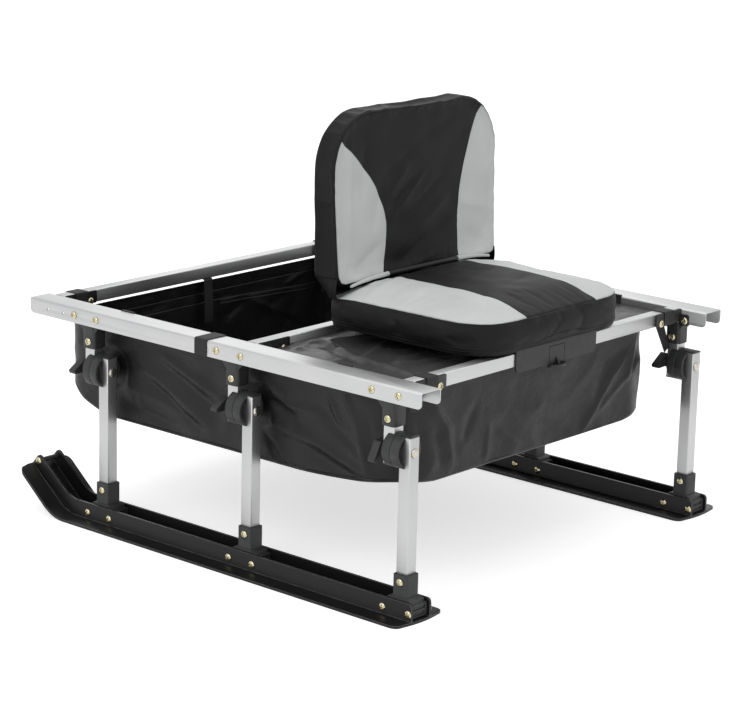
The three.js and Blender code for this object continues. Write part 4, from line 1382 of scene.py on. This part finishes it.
def add_hangers():
    for side_name, side in SIDES.items():
        outer = FLANGE_FACE - CLEARANCE - HANGER_STRAP / 2
        over = RAIL_TOP + CLEARANCE + HANGER_STRAP / 2
        hook = SIDE_Y - RAIL_WIDTH / 2 + RAIL_WALL + CLEARANCE + HANGER_STRAP / 2
        path = [
            (TUB_HALF - TUB_CLOTH_THICKNESS / 2, HANGER_WALL_Z), (outer, HANGER_TURN_Z), (outer, over),
            (hook, over), (hook, HANGER_HOOK_Z),
        ]
        outline = [(side * a, b) for a, b in strip(path, HANGER_STRAP)]
        for name, place in zip(("front", "rear"), HANGERS):
            form = run_out(outline, place - HANGER_WIDTH / 2, place + HANGER_WIDTH / 2, "x")
            hanger = bevelled(piece(f"{side_name}_{name}_hanger", form, WEBBING), FINE_BEVEL, segments=1)
            dressed(hanger, "frame", "cargo_tub")


add_hangers()


# Cover of the rear bay

COVER_SAG = 0.004
COVER_THICKNESS = 0.0012
COVER_SWELL = (0.0030, 6, 1.5)
COVER_RIDGES = (0.0032, 13, 4.4, -0.3)
COVER_GRAIN = (0.0012, 34, 8.0)
COVER_FADE = 12
COVER_DROP = 0.001
COVER_RELIEF_LIMIT = 0.004
COVER_CELLS = (110, 190)
COVER_NOTCH_X = 0.0705
COVER_NOTCH_Y = 0.315
COVER_FOLDS = (
    (75, -300, 150, -120, 9, 6.5), (90, -330, 200, -200, 9, -6), (120, -200, 180, 20, 10, 5.5),
    (80, -100, 120, 100, 9, 5), (230, -300, 170, -160, 9, 6), (270, -200, 200, 0, 11, -5.5),
    (250, 100, 120, 280, 11, 5), (300, -330, 260, -100, 9, 5), (110, -360, 60, -220, 7, 5),
    (180, -370, 260, -340, 8, 4.5), (75, -250, 240, -310, 6, 6), (230, -300, 400, -335, 6, 6),
    (90, -270, 250, -330, 8, -4.5), (300, -280, 330, -180, 8, 4.5),
)


def add_cover():
    low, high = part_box("rear_bay_cover")
    columns, rows = COVER_CELLS
    across, along = [share.ravel() for share in np.meshgrid(
        np.linspace(0, 1, columns + 1), np.linspace(0, 1, rows + 1),
    )]
    y = low.y + (high.y - low.y) * along
    start = np.where(np.abs(y) > COVER_NOTCH_Y, COVER_NOTCH_X, low.x)
    x = start + (high.x - start) * across
    fade = np.clip(np.minimum.reduce([across, 1 - across, along, 1 - along]) * COVER_FADE, 0, 1)
    flat = np.stack([x, y, np.zeros(len(x))], 1)
    waves = rumple(flat, *COVER_SWELL) + ridges(flat, *COVER_RIDGES) + rumple(flat, *COVER_GRAIN)
    sag = COVER_SAG * np.sin(across * math.pi) * np.sin(along * math.pi) + COVER_DROP
    z = high.z - COVER_DROP / 2 + fade * (waves + folds(x, y, COVER_FOLDS) - sag)
    z = np.minimum(z, high.z + COVER_RELIEF_LIMIT)
    form = bmesh.new()
    verts = [form.verts.new(point) for point in zip(x, y, z)]
    width = columns + 1
    joined(form, [verts[row * width:(row + 1) * width] for row in range(rows + 1)], closed=False)
    layer = normals_stored(form)
    thickened(form, layer, COVER_THICKNESS)
    cover = cloth_piece("rear_cover_cloth", form, layer, COVER_CLOTH)
    dressed(cover, "frame", "rear_bay_cover")


add_cover()


# Seat: stuffed blocks on a fine lattice, swelled by cloth simulation between their pinned seams

CUSHION_LOW, CUSHION_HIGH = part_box("seat_cushion")
BACK_LOW, BACK_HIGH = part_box("backrest")
PAD_CLOTH = {
    "quality": 6, "mass": 0.2, "bending_stiffness": 0.4, "shrink_min": -0.008,
    "use_pressure": True, "uniform_pressure_force": 4.0,
}
PAD_START_INSET = 0.004
PAD_CAP = 0.005
PAD_FRAMES = 20
PAD_SEAM_WAVE = (0.0016, 22, 3.1)
PANEL_SEAM_WIDTH = 0.0022
CUSHION_CELLS = (64, 75, 14)
CUSHION_LOW_SEAM_ROW = 2
CUSHION_BULGE = 0.004
CUSHION_CROWN = 0.022
CUSHION_CROWN_POWER = 8
CUSHION_BACK_POWER = 12
CUSHION_BACK_DROP = 0.010
CUSHION_DROP_POWER = 6
CUSHION_LOW_SEAM = 0.0095
CUSHION_LATCH_RISE = 0.008
CUSHION_LATCH_REACH = 0.06
CUSHION_LATCH_START = 0.1
CUSHION_SIDE_HEIGHT = 0.061
CUSHION_FRONT_RADIUS = 0.095
CUSHION_BACK_RADIUS = 0.045
CUSHION_PANEL_Y = 0.106
CUSHION_RIPPLE = 0.004
CUSHION_RIPPLE_X = 0.11
CUSHION_RIPPLE_REACH = 0.04
CUSHION_RIPPLES = 150
BACK_CELLS = (52, 75, 13)
BACK_THICKNESS = 0.065
BACK_CROWN = 0.005
BACK_LEAN = 0.016
BACK_TAPER = 0.006
BACK_TOP_SETTLE = 0.012
BACK_TOP_RADIUS = 0.105
BACK_BOTTOM_RADIUS = 0.018
BACK_WAIST_Z = 0.59
# The panels' seams: the left one's least distance from the middle and its growth above and below the waist,
# the right one's least distance, its growth and how far below the waist that starts
BACK_LEFT_SEAM = (0.092, 3.6, 2.6)
BACK_RIGHT_SEAM = (0.120, 1.42, 0.01)
BACK_SEAM_SLOPES = (7.2, 2.8)


def lattice(cells):
    """The surface of a cube from -1 to 1, cut into cells: its points, their indices and its faces"""
    numbers = {}
    faces = []
    for axis in range(3):
        first, second = (axis + 1) % 3, (axis + 2) % 3
        for end in (0, cells[axis]):
            for i in range(cells[first]):
                for j in range(cells[second]):
                    corners = []
                    for step_i, step_j in ((0, 0), (1, 0), (1, 1), (0, 1)):
                        key = [0, 0, 0]
                        key[axis], key[first], key[second] = end, i + step_i, j + step_j
                        corners.append(numbers.setdefault(tuple(key), len(numbers)))
                    faces.append(corners if end else corners[::-1])
    keys = np.array(list(numbers))
    return keys * 2 / np.array(cells) - 1, keys, faces


def corner_share(a, b, reach_a, reach_b, radius):
    """How far points move towards the middle for a block's corners to become round"""
    across, along = np.abs(a), np.abs(b)
    size = np.maximum(np.maximum(across / reach_a, along / reach_b), 1e-9)
    centre_a, centre_b = reach_a - radius, reach_b - radius
    edge_a, edge_b = across / size, along / size
    squared = edge_a ** 2 + edge_b ** 2
    towards = edge_a * centre_a + edge_b * centre_b
    rest = centre_a ** 2 + centre_b ** 2 - radius ** 2
    share = (towards + np.sqrt(np.maximum(towards ** 2 - squared * rest, 0))) / squared
    rounds = (share * edge_a > centre_a) & (share * edge_b > centre_b)
    return np.where(rounds, np.minimum(share, 1), 1)


def dome(share, power=4):
    return 1 - np.abs(share) ** power


def cushion_points(shares):
    u, v, w = shares.T
    reach_x = (CUSHION_HIGH.x - CUSHION_LOW.x) / 2 - CUSHION_BULGE
    reach_y = (CUSHION_HIGH.y - CUSHION_LOW.y) / 2 - CUSHION_BULGE
    x, y = u * reach_x, v * reach_y
    radius = np.where(u > 0, CUSHION_FRONT_RADIUS, CUSHION_BACK_RADIUS)
    share = corner_share(x, y, reach_x, reach_y, radius)
    edge = np.maximum(np.abs(u), np.abs(v))
    bulge = 1 + CUSHION_BULGE / reach_x * (1 - w ** 2) * edge
    rise = CUSHION_CROWN * np.where(u > 0, dome(u), dome(u, CUSHION_BACK_POWER)) * dome(v)
    rise -= np.where(u < 0, CUSHION_BACK_DROP * u ** CUSHION_DROP_POWER, 0)
    middle = (CUSHION_HIGH.x + CUSHION_LOW.x) / 2
    rise *= np.maximum(w, 0) ** CUSHION_CROWN_POWER
    height = CUSHION_LOW.z + CUSHION_SIDE_HEIGHT / 2 * (1 + w) + rise
    return np.stack([middle + x * share * bulge, y * share * bulge, height], 1)


def back_points(shares):
    u, v, w = shares.T
    reach_z = (BACK_HIGH.z - BACK_TOP_SETTLE - BACK_LOW.z) / 2
    reach_y = (BACK_HIGH.y - BACK_LOW.y) / 2
    radius = np.where(u > 0, BACK_TOP_RADIUS, BACK_BOTTOM_RADIUS)
    y, z = v * reach_y, u * reach_z
    share = corner_share(y, z, reach_y, reach_z, radius)
    taper = np.where(u < 0, 1 + BACK_TAPER / reach_y * u, 1)
    front = np.maximum(w, 0)
    lean = BACK_LEAN * np.sqrt(np.maximum(1 + u, 0) / 2) * front
    crown = BACK_CROWN * dome(v) * dome(u) * front
    depth = BACK_LOW.x + BACK_THICKNESS / 2 * (1 + w) - lean + crown
    return np.stack([depth, y * share * taper, BACK_LOW.z + reach_z + z * share], 1)


def seam_distance(shares, size, pitch):
    """Signed distance from a pad's face seam: positive on the face, negative down the sides"""
    u, v, w = shares.T
    inset = np.minimum((1 - np.abs(u)) * size[0], (1 - np.abs(v)) * size[1]) / 2
    return np.where(w > 1 - 1e-6, inset, (w - 1) * pitch)


def cushion_panels(points):
    """Signed distance of the cushion's grey panels from their seams, which ripple towards the hinge"""
    x, y, _ = points.T
    near_hinge = np.exp(-((x - CUSHION_RIPPLE_X) / CUSHION_RIPPLE_REACH) ** 2)
    ripple = CUSHION_RIPPLE * near_hinge * np.sin((x - CUSHION_LOW.x) * CUSHION_RIPPLES)
    return np.abs(y) - CUSHION_PANEL_Y - ripple


def back_panels(points):
    """Signed distance of the backrest's grey panels from their curved seams"""
    _, y, z = points.T
    height = z - BACK_WAIST_Z
    narrowest, above, below = BACK_LEFT_SEAM
    left = narrowest + np.where(height > 0, above, below) * height ** 2
    narrowest, growth, start = BACK_RIGHT_SEAM
    right = narrowest + growth * np.maximum(height + start, 0) ** 2
    slope = np.where(y < 0, *BACK_SEAM_SLOPES) * np.maximum(height, 0)
    gap = np.where(y < 0, -y - left, y - right)
    return gap / np.sqrt(1 + slope ** 2)


def cushion_low_seam(points):
    """Signed distance from the lower seam, which rises over the latch"""
    x, y, z = points.T
    rise = CUSHION_LATCH_RISE * np.exp(-(y / CUSHION_LATCH_REACH) ** 4)
    return z - CUSHION_LOW.z - CUSHION_LOW_SEAM - rise * (x > CUSHION_LOW.x + CUSHION_LATCH_START)


def no_seam(points):
    return np.full(len(points), 1.0)


def pad_mesh(name, cells, points_of, panels_of, low_seam_of, pins_of, finish):
    shares, keys, faces = lattice(cells)
    rest = points_of(shares)
    pins = pins_of(keys)
    wave = rumple(rest, *PAD_SEAM_WAVE)
    mesh = bpy.data.meshes.new(name)
    mesh.from_pydata(rest.tolist(), [], faces)
    mesh.materials.append(finish)
    mesh.polygons.foreach_set("use_smooth", [True] * len(faces))
    mesh.update()
    normals = read(mesh.vertices, "normal", 3)
    rest = rest + normals * wave[:, None]
    size = rest.max(0) - rest.min(0)
    order = (0, 1, 2) if points_of is cushion_points else (2, 1, 0)
    spans = [size[axis] for axis in order]
    fields = {
        "grey_panel": panels_of(rest),
        "face_seam": seam_distance(shares, spans, spans[2] / 2),
        "low_seam": low_seam_of(rest),
    }
    for field, values in fields.items():
        mesh.attributes.new(field, "FLOAT", "POINT").data.foreach_set("value", values)
    obj = link(bpy.data.objects.new(name, mesh))
    return obj, rest, normals, pins


def rim_rows(keys, cells, rows):
    """Where a lattice's points lie on the rim of one of the rows"""
    i, j, k = keys.T
    rim = (i == 0) | (i == cells[0]) | (j == 0) | (j == cells[1])
    return rim & np.isin(k, rows)


def cushion_pins(keys):
    return rim_rows(keys, CUSHION_CELLS, (CUSHION_CELLS[2], CUSHION_LOW_SEAM_ROW)) | (keys[:, 2] == 0)


def back_pins(keys):
    return rim_rows(keys, BACK_CELLS, (BACK_CELLS[2], 0))


def place_points(mesh, points):
    mesh.vertices.foreach_set("co", np.asarray(points, dtype=np.float32).ravel())
    mesh.update()


def read(data, name, width):
    """A stored value of each item, as rows of numbers"""
    values = np.empty(len(data) * width, dtype=np.float32)
    data.foreach_get(name, values)
    return values.reshape(-1, width).astype(float)


def swelled(pads):
    """Runs the pads' cloth together, caps how far each point moved, and leaves plain meshes"""
    scene = bpy.context.scene
    for obj, rest, normals, pins in pads:
        start = rest - normals * np.where(pins, 0, PAD_START_INSET)[:, None]
        place_points(obj.data, start)
        group = obj.vertex_groups.new(name="seams")
        group.add([int(number) for number in np.nonzero(pins)[0]], 1.0, "REPLACE")
        cloth = obj.modifiers.new("cloth", "CLOTH")
        for name, value in PAD_CLOTH.items():
            setattr(cloth.settings, name, value)
        cloth.settings.vertex_group_mass = group.name
        cloth.settings.effector_weights.gravity = 0
        cloth.collision_settings.use_collision = False
        cloth.point_cache.frame_start = 1
        cloth.point_cache.frame_end = PAD_FRAMES
    for frame_number in range(1, PAD_FRAMES + 1):
        scene.frame_set(frame_number)
    graph = bpy.context.evaluated_depsgraph_get()
    results = [read(obj.evaluated_get(graph).data.vertices, "co", 3) for obj, *_ in pads]
    for (obj, rest, _, _), result in zip(pads, results):
        move = result - rest
        length = np.linalg.norm(move, axis=1, keepdims=True)
        capped = rest + move * np.minimum(1, PAD_CAP / np.maximum(length, 1e-9))
        obj.modifiers.clear()
        obj.vertex_groups.clear()
        place_points(obj.data, capped)
    scene.frame_set(1)


def refined(obj):
    """One subdivision, applied"""
    modified(obj, "SUBSURF", levels=1, render_levels=1)
    return baked(obj, degrees=180)


# Folds as (y, x) on the cushion and (y, z) on the backrest
CUSHION_FOLDS = (
    (-200, 105, 100, 90, 7, -3.6), (-100, 120, 190, 104, 8, 3), (-190, 135, -20, 118, 9, -2.8),
    (-60, 150, 140, 132, 10, 2.4), (-220, 165, -100, 150, 9, 2.6), (-210, 200, -110, 190, 11, -2.2),
    (-40, 185, 90, 172, 12, -2.2), (-200, 245, -120, 232, 12, 1.8), (-50, 260, 80, 230, 12, 2),
    (-20, 330, 90, 300, 13, -1.8), (120, 200, 200, 170, 10, 2), (130, 300, 190, 250, 11, -1.6),
)
BACK_FOLDS = (
    (-85, 612, 15, 690, 7, -4), (-80, 632, 0, 690, 7, 3.6), (-78, 585, 60, 672, 10, 3.6),
    (-60, 555, 90, 640, 12, -4), (-50, 530, 105, 600, 12, 4.2), (-85, 660, -30, 712, 8, -2.8),
    (-100, 700, -20, 735, 10, 2.4), (-196, 560, -190, 770, 10, -3), (-180, 530, -110, 570, 12, 2.8),
    (-130, 600, -105, 680, 12, 2.2), (130, 620, 215, 600, 12, -2.2), (140, 560, 210, 530, 14, 2.4),
    (-20, 515, 110, 545, 11, -3.4), (0, 760, 110, 790, 14, 2.2), (-160, 660, -150, 760, 10, 2),
    (165, 700, 190, 780, 11, 2),
)


FOLD_FADE = 0.012
PUCKER = (0.0011, 62, 5.3)
PUCKER_PLACE = 0.004
PUCKER_REACH = 0.009
SEAT_SWELL = (0.0012, 13, 8.2)
SEAT_SWELL_STRETCH = (1, 1, 0.6)
SEAM_SINK = 0.0012
SEAM_REACH = 0.003
SEAM_BLUR = 0.0002
SEAT_WEAVE = 0.0009
SEAT_WEAVE_DEPTH = 0.00012


def creased(obj, strokes, axes):
    """Folds on the face, puckers along its seam and a loose unevenness all over"""
    mesh = obj.data
    points = read(mesh.vertices, "co", 3)
    normals = read(mesh.vertices, "normal", 3)
    seam = read(mesh.attributes["face_seam"].data, "value", 1)[:, 0]
    face = np.clip(seam / FOLD_FADE, 0, 1)
    height = folds(points[:, axes[0]], points[:, axes[1]], strokes) * face
    pucker = np.exp(-((np.abs(seam) - PUCKER_PLACE) / PUCKER_REACH) ** 2)
    height += rumple(points, *PUCKER) * pucker
    height += rumple(points * SEAT_SWELL_STRETCH, *SEAT_SWELL)
    height -= np.exp(-(seam / SEAM_REACH) ** 2) * SEAM_SINK
    place_points(mesh, points + normals * height[:, None])


def seat_finish():
    """Tight oxford weave, black with grey side panels, and grooves along the seams"""
    finish = Finish("seat_cloth", grey(30), roughness=0.58, Specular_IOR_Level=0.2)
    panel = finish.attribute("grey_panel")
    face = finish.attribute("face_seam")
    inside = [finish.ramp(distance, low=-SEAM_BLUR, high=SEAM_BLUR) for distance in (panel, face)]
    black = finish.clouds(grey(23), grey(29), scale=14, detail=4)
    pale = finish.clouds((0.62, 0.64, 0.632), (0.67, 0.69, 0.682), scale=14, detail=4)
    finish.colour(finish.mix(finish.math("MULTIPLY", *inside), black, pale))
    on_face = finish.ramp(face, low=0.0, high=SEAM_BLUR * 2)
    grooved(finish, panel, PANEL_SEAM_WIDTH, depth=0.0012, share=on_face)
    grooved(finish, face, PANEL_SEAM_WIDTH, depth=0.0022)
    grooved(finish, finish.attribute("low_seam"), PANEL_SEAM_WIDTH, depth=0.0018)
    woven(finish, SEAT_WEAVE, SEAT_WEAVE_DEPTH)
    return finish.material


def plain_seat_cloth(name, colour, roughness):
    finish = Finish(name, colour, roughness, Specular_IOR_Level=0.22)
    woven(finish, SEAT_WEAVE, SEAT_WEAVE_DEPTH)
    return finish.material


def add_seat():
    finish = seat_finish()
    cushion_shape = (CUSHION_CELLS, cushion_points, cushion_panels, cushion_low_seam, cushion_pins)
    back_shape = (BACK_CELLS, back_points, back_panels, no_seam, back_pins)
    pads = [
        pad_mesh("seat_cushion_cover", *cushion_shape, finish),
        pad_mesh("backrest_cover", *back_shape, finish),
    ]
    swelled(pads)
    dress = (("frame", "seat_cushion", CUSHION_FOLDS, (1, 0)), ("backrest", "backrest", BACK_FOLDS, (1, 2)))
    for (obj, *_), (body, node, strokes, axes) in zip(pads, dress):
        refined(obj)
        creased(obj, strokes, axes)
        dressed(obj, body, node)


add_seat()


# Gathered cloth that closes the gap between the cushion and the backrest, round their back and ends

GUSSET_TOP = 0.520
GUSSET_BOTTOM = 0.482
GUSSET_FRONT_X = 0.103
GUSSET_GAP = 0.0022
GUSSET_BACK_RADIUS = 0.014
GUSSET_COLUMNS = 300
GUSSET_ROWS = 10
GUSSET_BULGE = 0.003
GUSSET_PLEAT = 0.0016
GUSSET_PLEAT_CHANGE = (1.4, 1, 6.4)
GUSSET_LOW_RADIUS_SHARE = 0.9
GUSSET_PLEATS = 81
GUSSET_THICKNESS = 0.0008


def gusset_edge(half_width, back_x, radius):
    return resampled(filleted([
        (GUSSET_FRONT_X, -half_width, 0),
        (back_x, -half_width, radius),
        (back_x, half_width, radius),
        (GUSSET_FRONT_X, half_width, 0),
    ], steps=16), GUSSET_COLUMNS + 1)


def add_gusset():
    finish = plain_seat_cloth("gusset_cloth", grey(23), roughness=0.6)
    taper = BACK_TAPER * (1 - (GUSSET_TOP - BACK_LOW.z) / (BACK_HIGH.z - BACK_LOW.z) * 2)
    upper = gusset_edge(BACK_HIGH.y - taper + GUSSET_GAP, BACK_LOW.x - GUSSET_GAP, GUSSET_BACK_RADIUS)
    low_half = CUSHION_HIGH.y - CUSHION_BULGE + GUSSET_GAP
    low_radius = CUSHION_BACK_RADIUS * GUSSET_LOW_RADIUS_SHARE
    lower = gusset_edge(low_half, CUSHION_LOW.x + CUSHION_BULGE - GUSSET_GAP, low_radius)
    middle = np.array([GUSSET_FRONT_X, 0])
    run = np.linspace(0, 1, GUSSET_COLUMNS + 1)
    form = bmesh.new()
    grid = []
    for row in range(GUSSET_ROWS + 1):
        share = row / GUSSET_ROWS
        points = upper + (lower - upper) * share
        out = points - middle
        out /= np.linalg.norm(out, axis=1, keepdims=True)
        height = GUSSET_TOP + (GUSSET_BOTTOM - GUSSET_TOP) * share
        where = np.column_stack([run * GUSSET_PLEATS, np.full(len(run), share * 0.5), np.zeros(len(run))])
        pleat = GUSSET_PLEAT * (1 + rumple(where, *GUSSET_PLEAT_CHANGE))
        points = points + out * (GUSSET_BULGE * math.sin(math.pi * share) + pleat)[:, None]
        grid.append([form.verts.new((*point, height)) for point in points])
    joined(form, grid, closed=False)
    layer = normals_stored(form, axis=0)
    thickened(form, layer, GUSSET_THICKNESS)
    gusset = cloth_piece("hinge_gusset", form, layer, finish)
    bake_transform(gusset)


add_gusset()


# Hinge rod, cased in the cover's cloth: black in the middle and grey beyond

ROD_BLACK = (-0.100, 0.105)
ROD_BEVEL = 0.001
ROD_CASE_SHARE = 0.96
ROD_CASE_RIPPLE = 0.12
ROD_CASE_RIPPLE_SCALE = 60
ROD_CASE_END_RADIUS = 0.0028
ROD_CASE_DROP = 0.009
ROD_CASE_STEPS = 24
ROD_CASE_SIDES = 14
ROD_PALE = (0.60, 0.62, 0.612)


def add_hinge_rod():
    low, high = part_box("seat_hinge_rod")
    x, _, z = centre("seat_hinge_rod")
    radius = (high.z - low.z) / 2
    middle = run_out(circle(radius, steps=24, a=x, b=z), *ROD_BLACK, "y")
    rod = bevelled(piece("hinge_rod_middle", middle, CASE_CLOTH), ROD_BEVEL)
    dressed(rod, "frame", "seat_hinge_rod")
    pale = plain_seat_cloth("pale_cloth", ROD_PALE, roughness=0.72)
    for (side_name, side), start in zip(SIDES.items(), ROD_BLACK):
        form = bmesh.new()
        rings = []
        for step in range(ROD_CASE_STEPS + 1):
            share = step / ROD_CASE_STEPS
            y = abs(start) + (high.y - abs(start)) * share
            size = radius * ROD_CASE_SHARE * (1 - share) + ROD_CASE_END_RADIUS * share
            size *= 1 + ROD_CASE_RIPPLE * noise.noise(Vector((y * ROD_CASE_RIPPLE_SCALE, side, 2)))
            drop = ROD_CASE_DROP * share ** 2
            points = circle(size, ROD_CASE_SIDES, x, z - drop)
            rings.append([form.verts.new((a, side * y, b)) for a, b in points])
        joined(form, rings)
        form.faces.new(rings[0])
        form.faces.new(rings[-1])
        case = piece(f"{side_name}_hinge_case", form, pale)
        dressed(case, "frame", "seat_hinge_rod")


add_hinge_rod()


# Webbing straps round the near rail and the cross tubes

STRAP_THICKNESS = 0.0014
STRAP_CORNER = 0.004
TUBE_STRAP_CORNER = 0.003
RAIL_STRAP_X = (-0.047, -0.016)
TUBE_STRAP_Y = (0.345, 0.376)
CENTRE_STRAP_Y = (-0.016, 0.008)
CENTRE_TAIL_BOTTOM = 0.303
FAR_TAIL_Y = (0.337, 0.361)
FAR_TAIL_BOTTOM = 0.315
FAR_TAIL_DROP = 0.004
TAIL_STEPS = 24
TAIL_CURL = 0.004
TAIL_CURL_TURN = 2.6
TAIL_OVERLAP = 0.012
# Tails behind the rear tube: the top edge's y, then the bottom corners as (y, z)
REAR_TAILS = {
    "left": ((-0.376, -0.345), ((-0.352, 0.352), (-0.382, 0.356))),
    "right": ((0.350, 0.380), ((0.4135, 0.3375), (0.398, 0.3275))),
}
TUCK_DEPTH = 0.016
TUCK_BEND = 0.005


def add_strap(name, outline, start, end, axis, hole=None):
    strap = piece(name, run_out(outline, start, end, axis, hole), WEBBING)
    dressed(bevelled(strap, FINE_BEVEL, segments=1), "frame")


def add_ring(name, a0, a1, b0, b1, reach, axis, corner):
    """A flat strap wound once round a bar"""
    gap, outer = CLEARANCE, CLEARANCE + STRAP_THICKNESS
    around = rounded_rectangle(a0 - outer, a1 + outer, b0 - outer, b1 + outer, corner)
    hole = rounded_rectangle(a0 - gap, a1 + gap, b0 - gap, b1 + gap, corner - STRAP_THICKNESS)
    add_strap(name, around, *reach, axis, hole)


def add_hanging_tail(name, x, top, bottom, reach, tucked=False):
    """A strap's loose end that hangs down with a slight curl, where tucked from under a tube"""
    half = STRAP_THICKNESS / 2
    path = [(x + half, top)]
    if tucked:
        bend = (x - TUCK_BEND, top - half)
        path = [(x - TUCK_DEPTH, top - half), bend] + curve(bend, (x, top - half), (x, top - TUCK_BEND))
    start, height = path[-1]
    for step in range(1, TAIL_STEPS + 1):
        share = step / TAIL_STEPS
        curl = TAIL_CURL * math.sin(share * TAIL_CURL_TURN) * share
        path.append((start + curl, height + (bottom - height) * share))
    add_strap(name, strip(path, STRAP_THICKNESS), *reach, "y")


def add_straps():
    near = RAIL["left"]
    add_ring("near_rail_strap", near[0].y, near[1].y, RAIL_BOTTOM, RAIL_TOP, RAIL_STRAP_X, "x", STRAP_CORNER)
    tube_bottom = RAIL_TOP - TUBE_SIDE
    reach = TUBE_SIDE / 2
    for station in ("front", "rear"):
        x0 = TUBE_X[station] - reach
        x1 = TUBE_X[station] + reach + BRACKET_THICKNESS + CLEARANCE
        for side_name, side in SIDES.items():
            name = f"{side_name}_{station}_tube_strap"
            reach_y = span(side, *TUBE_STRAP_Y)
            add_ring(name, x0, x1, tube_bottom, RAIL_TOP, reach_y, "y", TUBE_STRAP_CORNER)
    x1 = TUBE_X["front"] + reach
    top = tube_bottom - CLEARANCE
    add_hanging_tail("centre_strap_tail", x1, top, CENTRE_TAIL_BOTTOM, CENTRE_STRAP_Y, tucked=True)
    far = x1 + BRACKET_THICKNESS + STRAP_THICKNESS * 2 + CLEARANCE
    add_hanging_tail("far_strap_tail", far, RAIL_TOP - FAR_TAIL_DROP, FAR_TAIL_BOTTOM, FAR_TAIL_Y)
    inner = TUBE_X["rear"] - reach - CLEARANCE * 2 - STRAP_THICKNESS
    for side_name, (top_edge, corners) in REAR_TAILS.items():
        outline = [(y, tube_bottom + TAIL_OVERLAP) for y in top_edge] + list(corners)
        add_strap(f"{side_name}_rear_strap_tail", outline, inner - STRAP_THICKNESS, inner, "x")


add_straps()


# Clips and latch keep their CAD meshes, with softened edges

CLIP_BEVEL = 0.0007


def add_clips():
    for node in ("front_seat_clip", "rear_seat_clip", "seat_latch"):
        obj = bpy.data.objects[node]
        obj.data.materials.clear()
        obj.data.materials.append(CLIP)
        modified(obj, "WELD", merge_threshold=1e-5)
        modified(obj, "BEVEL", width=CLIP_BEVEL, segments=2, limit_method="ANGLE")


add_clips()
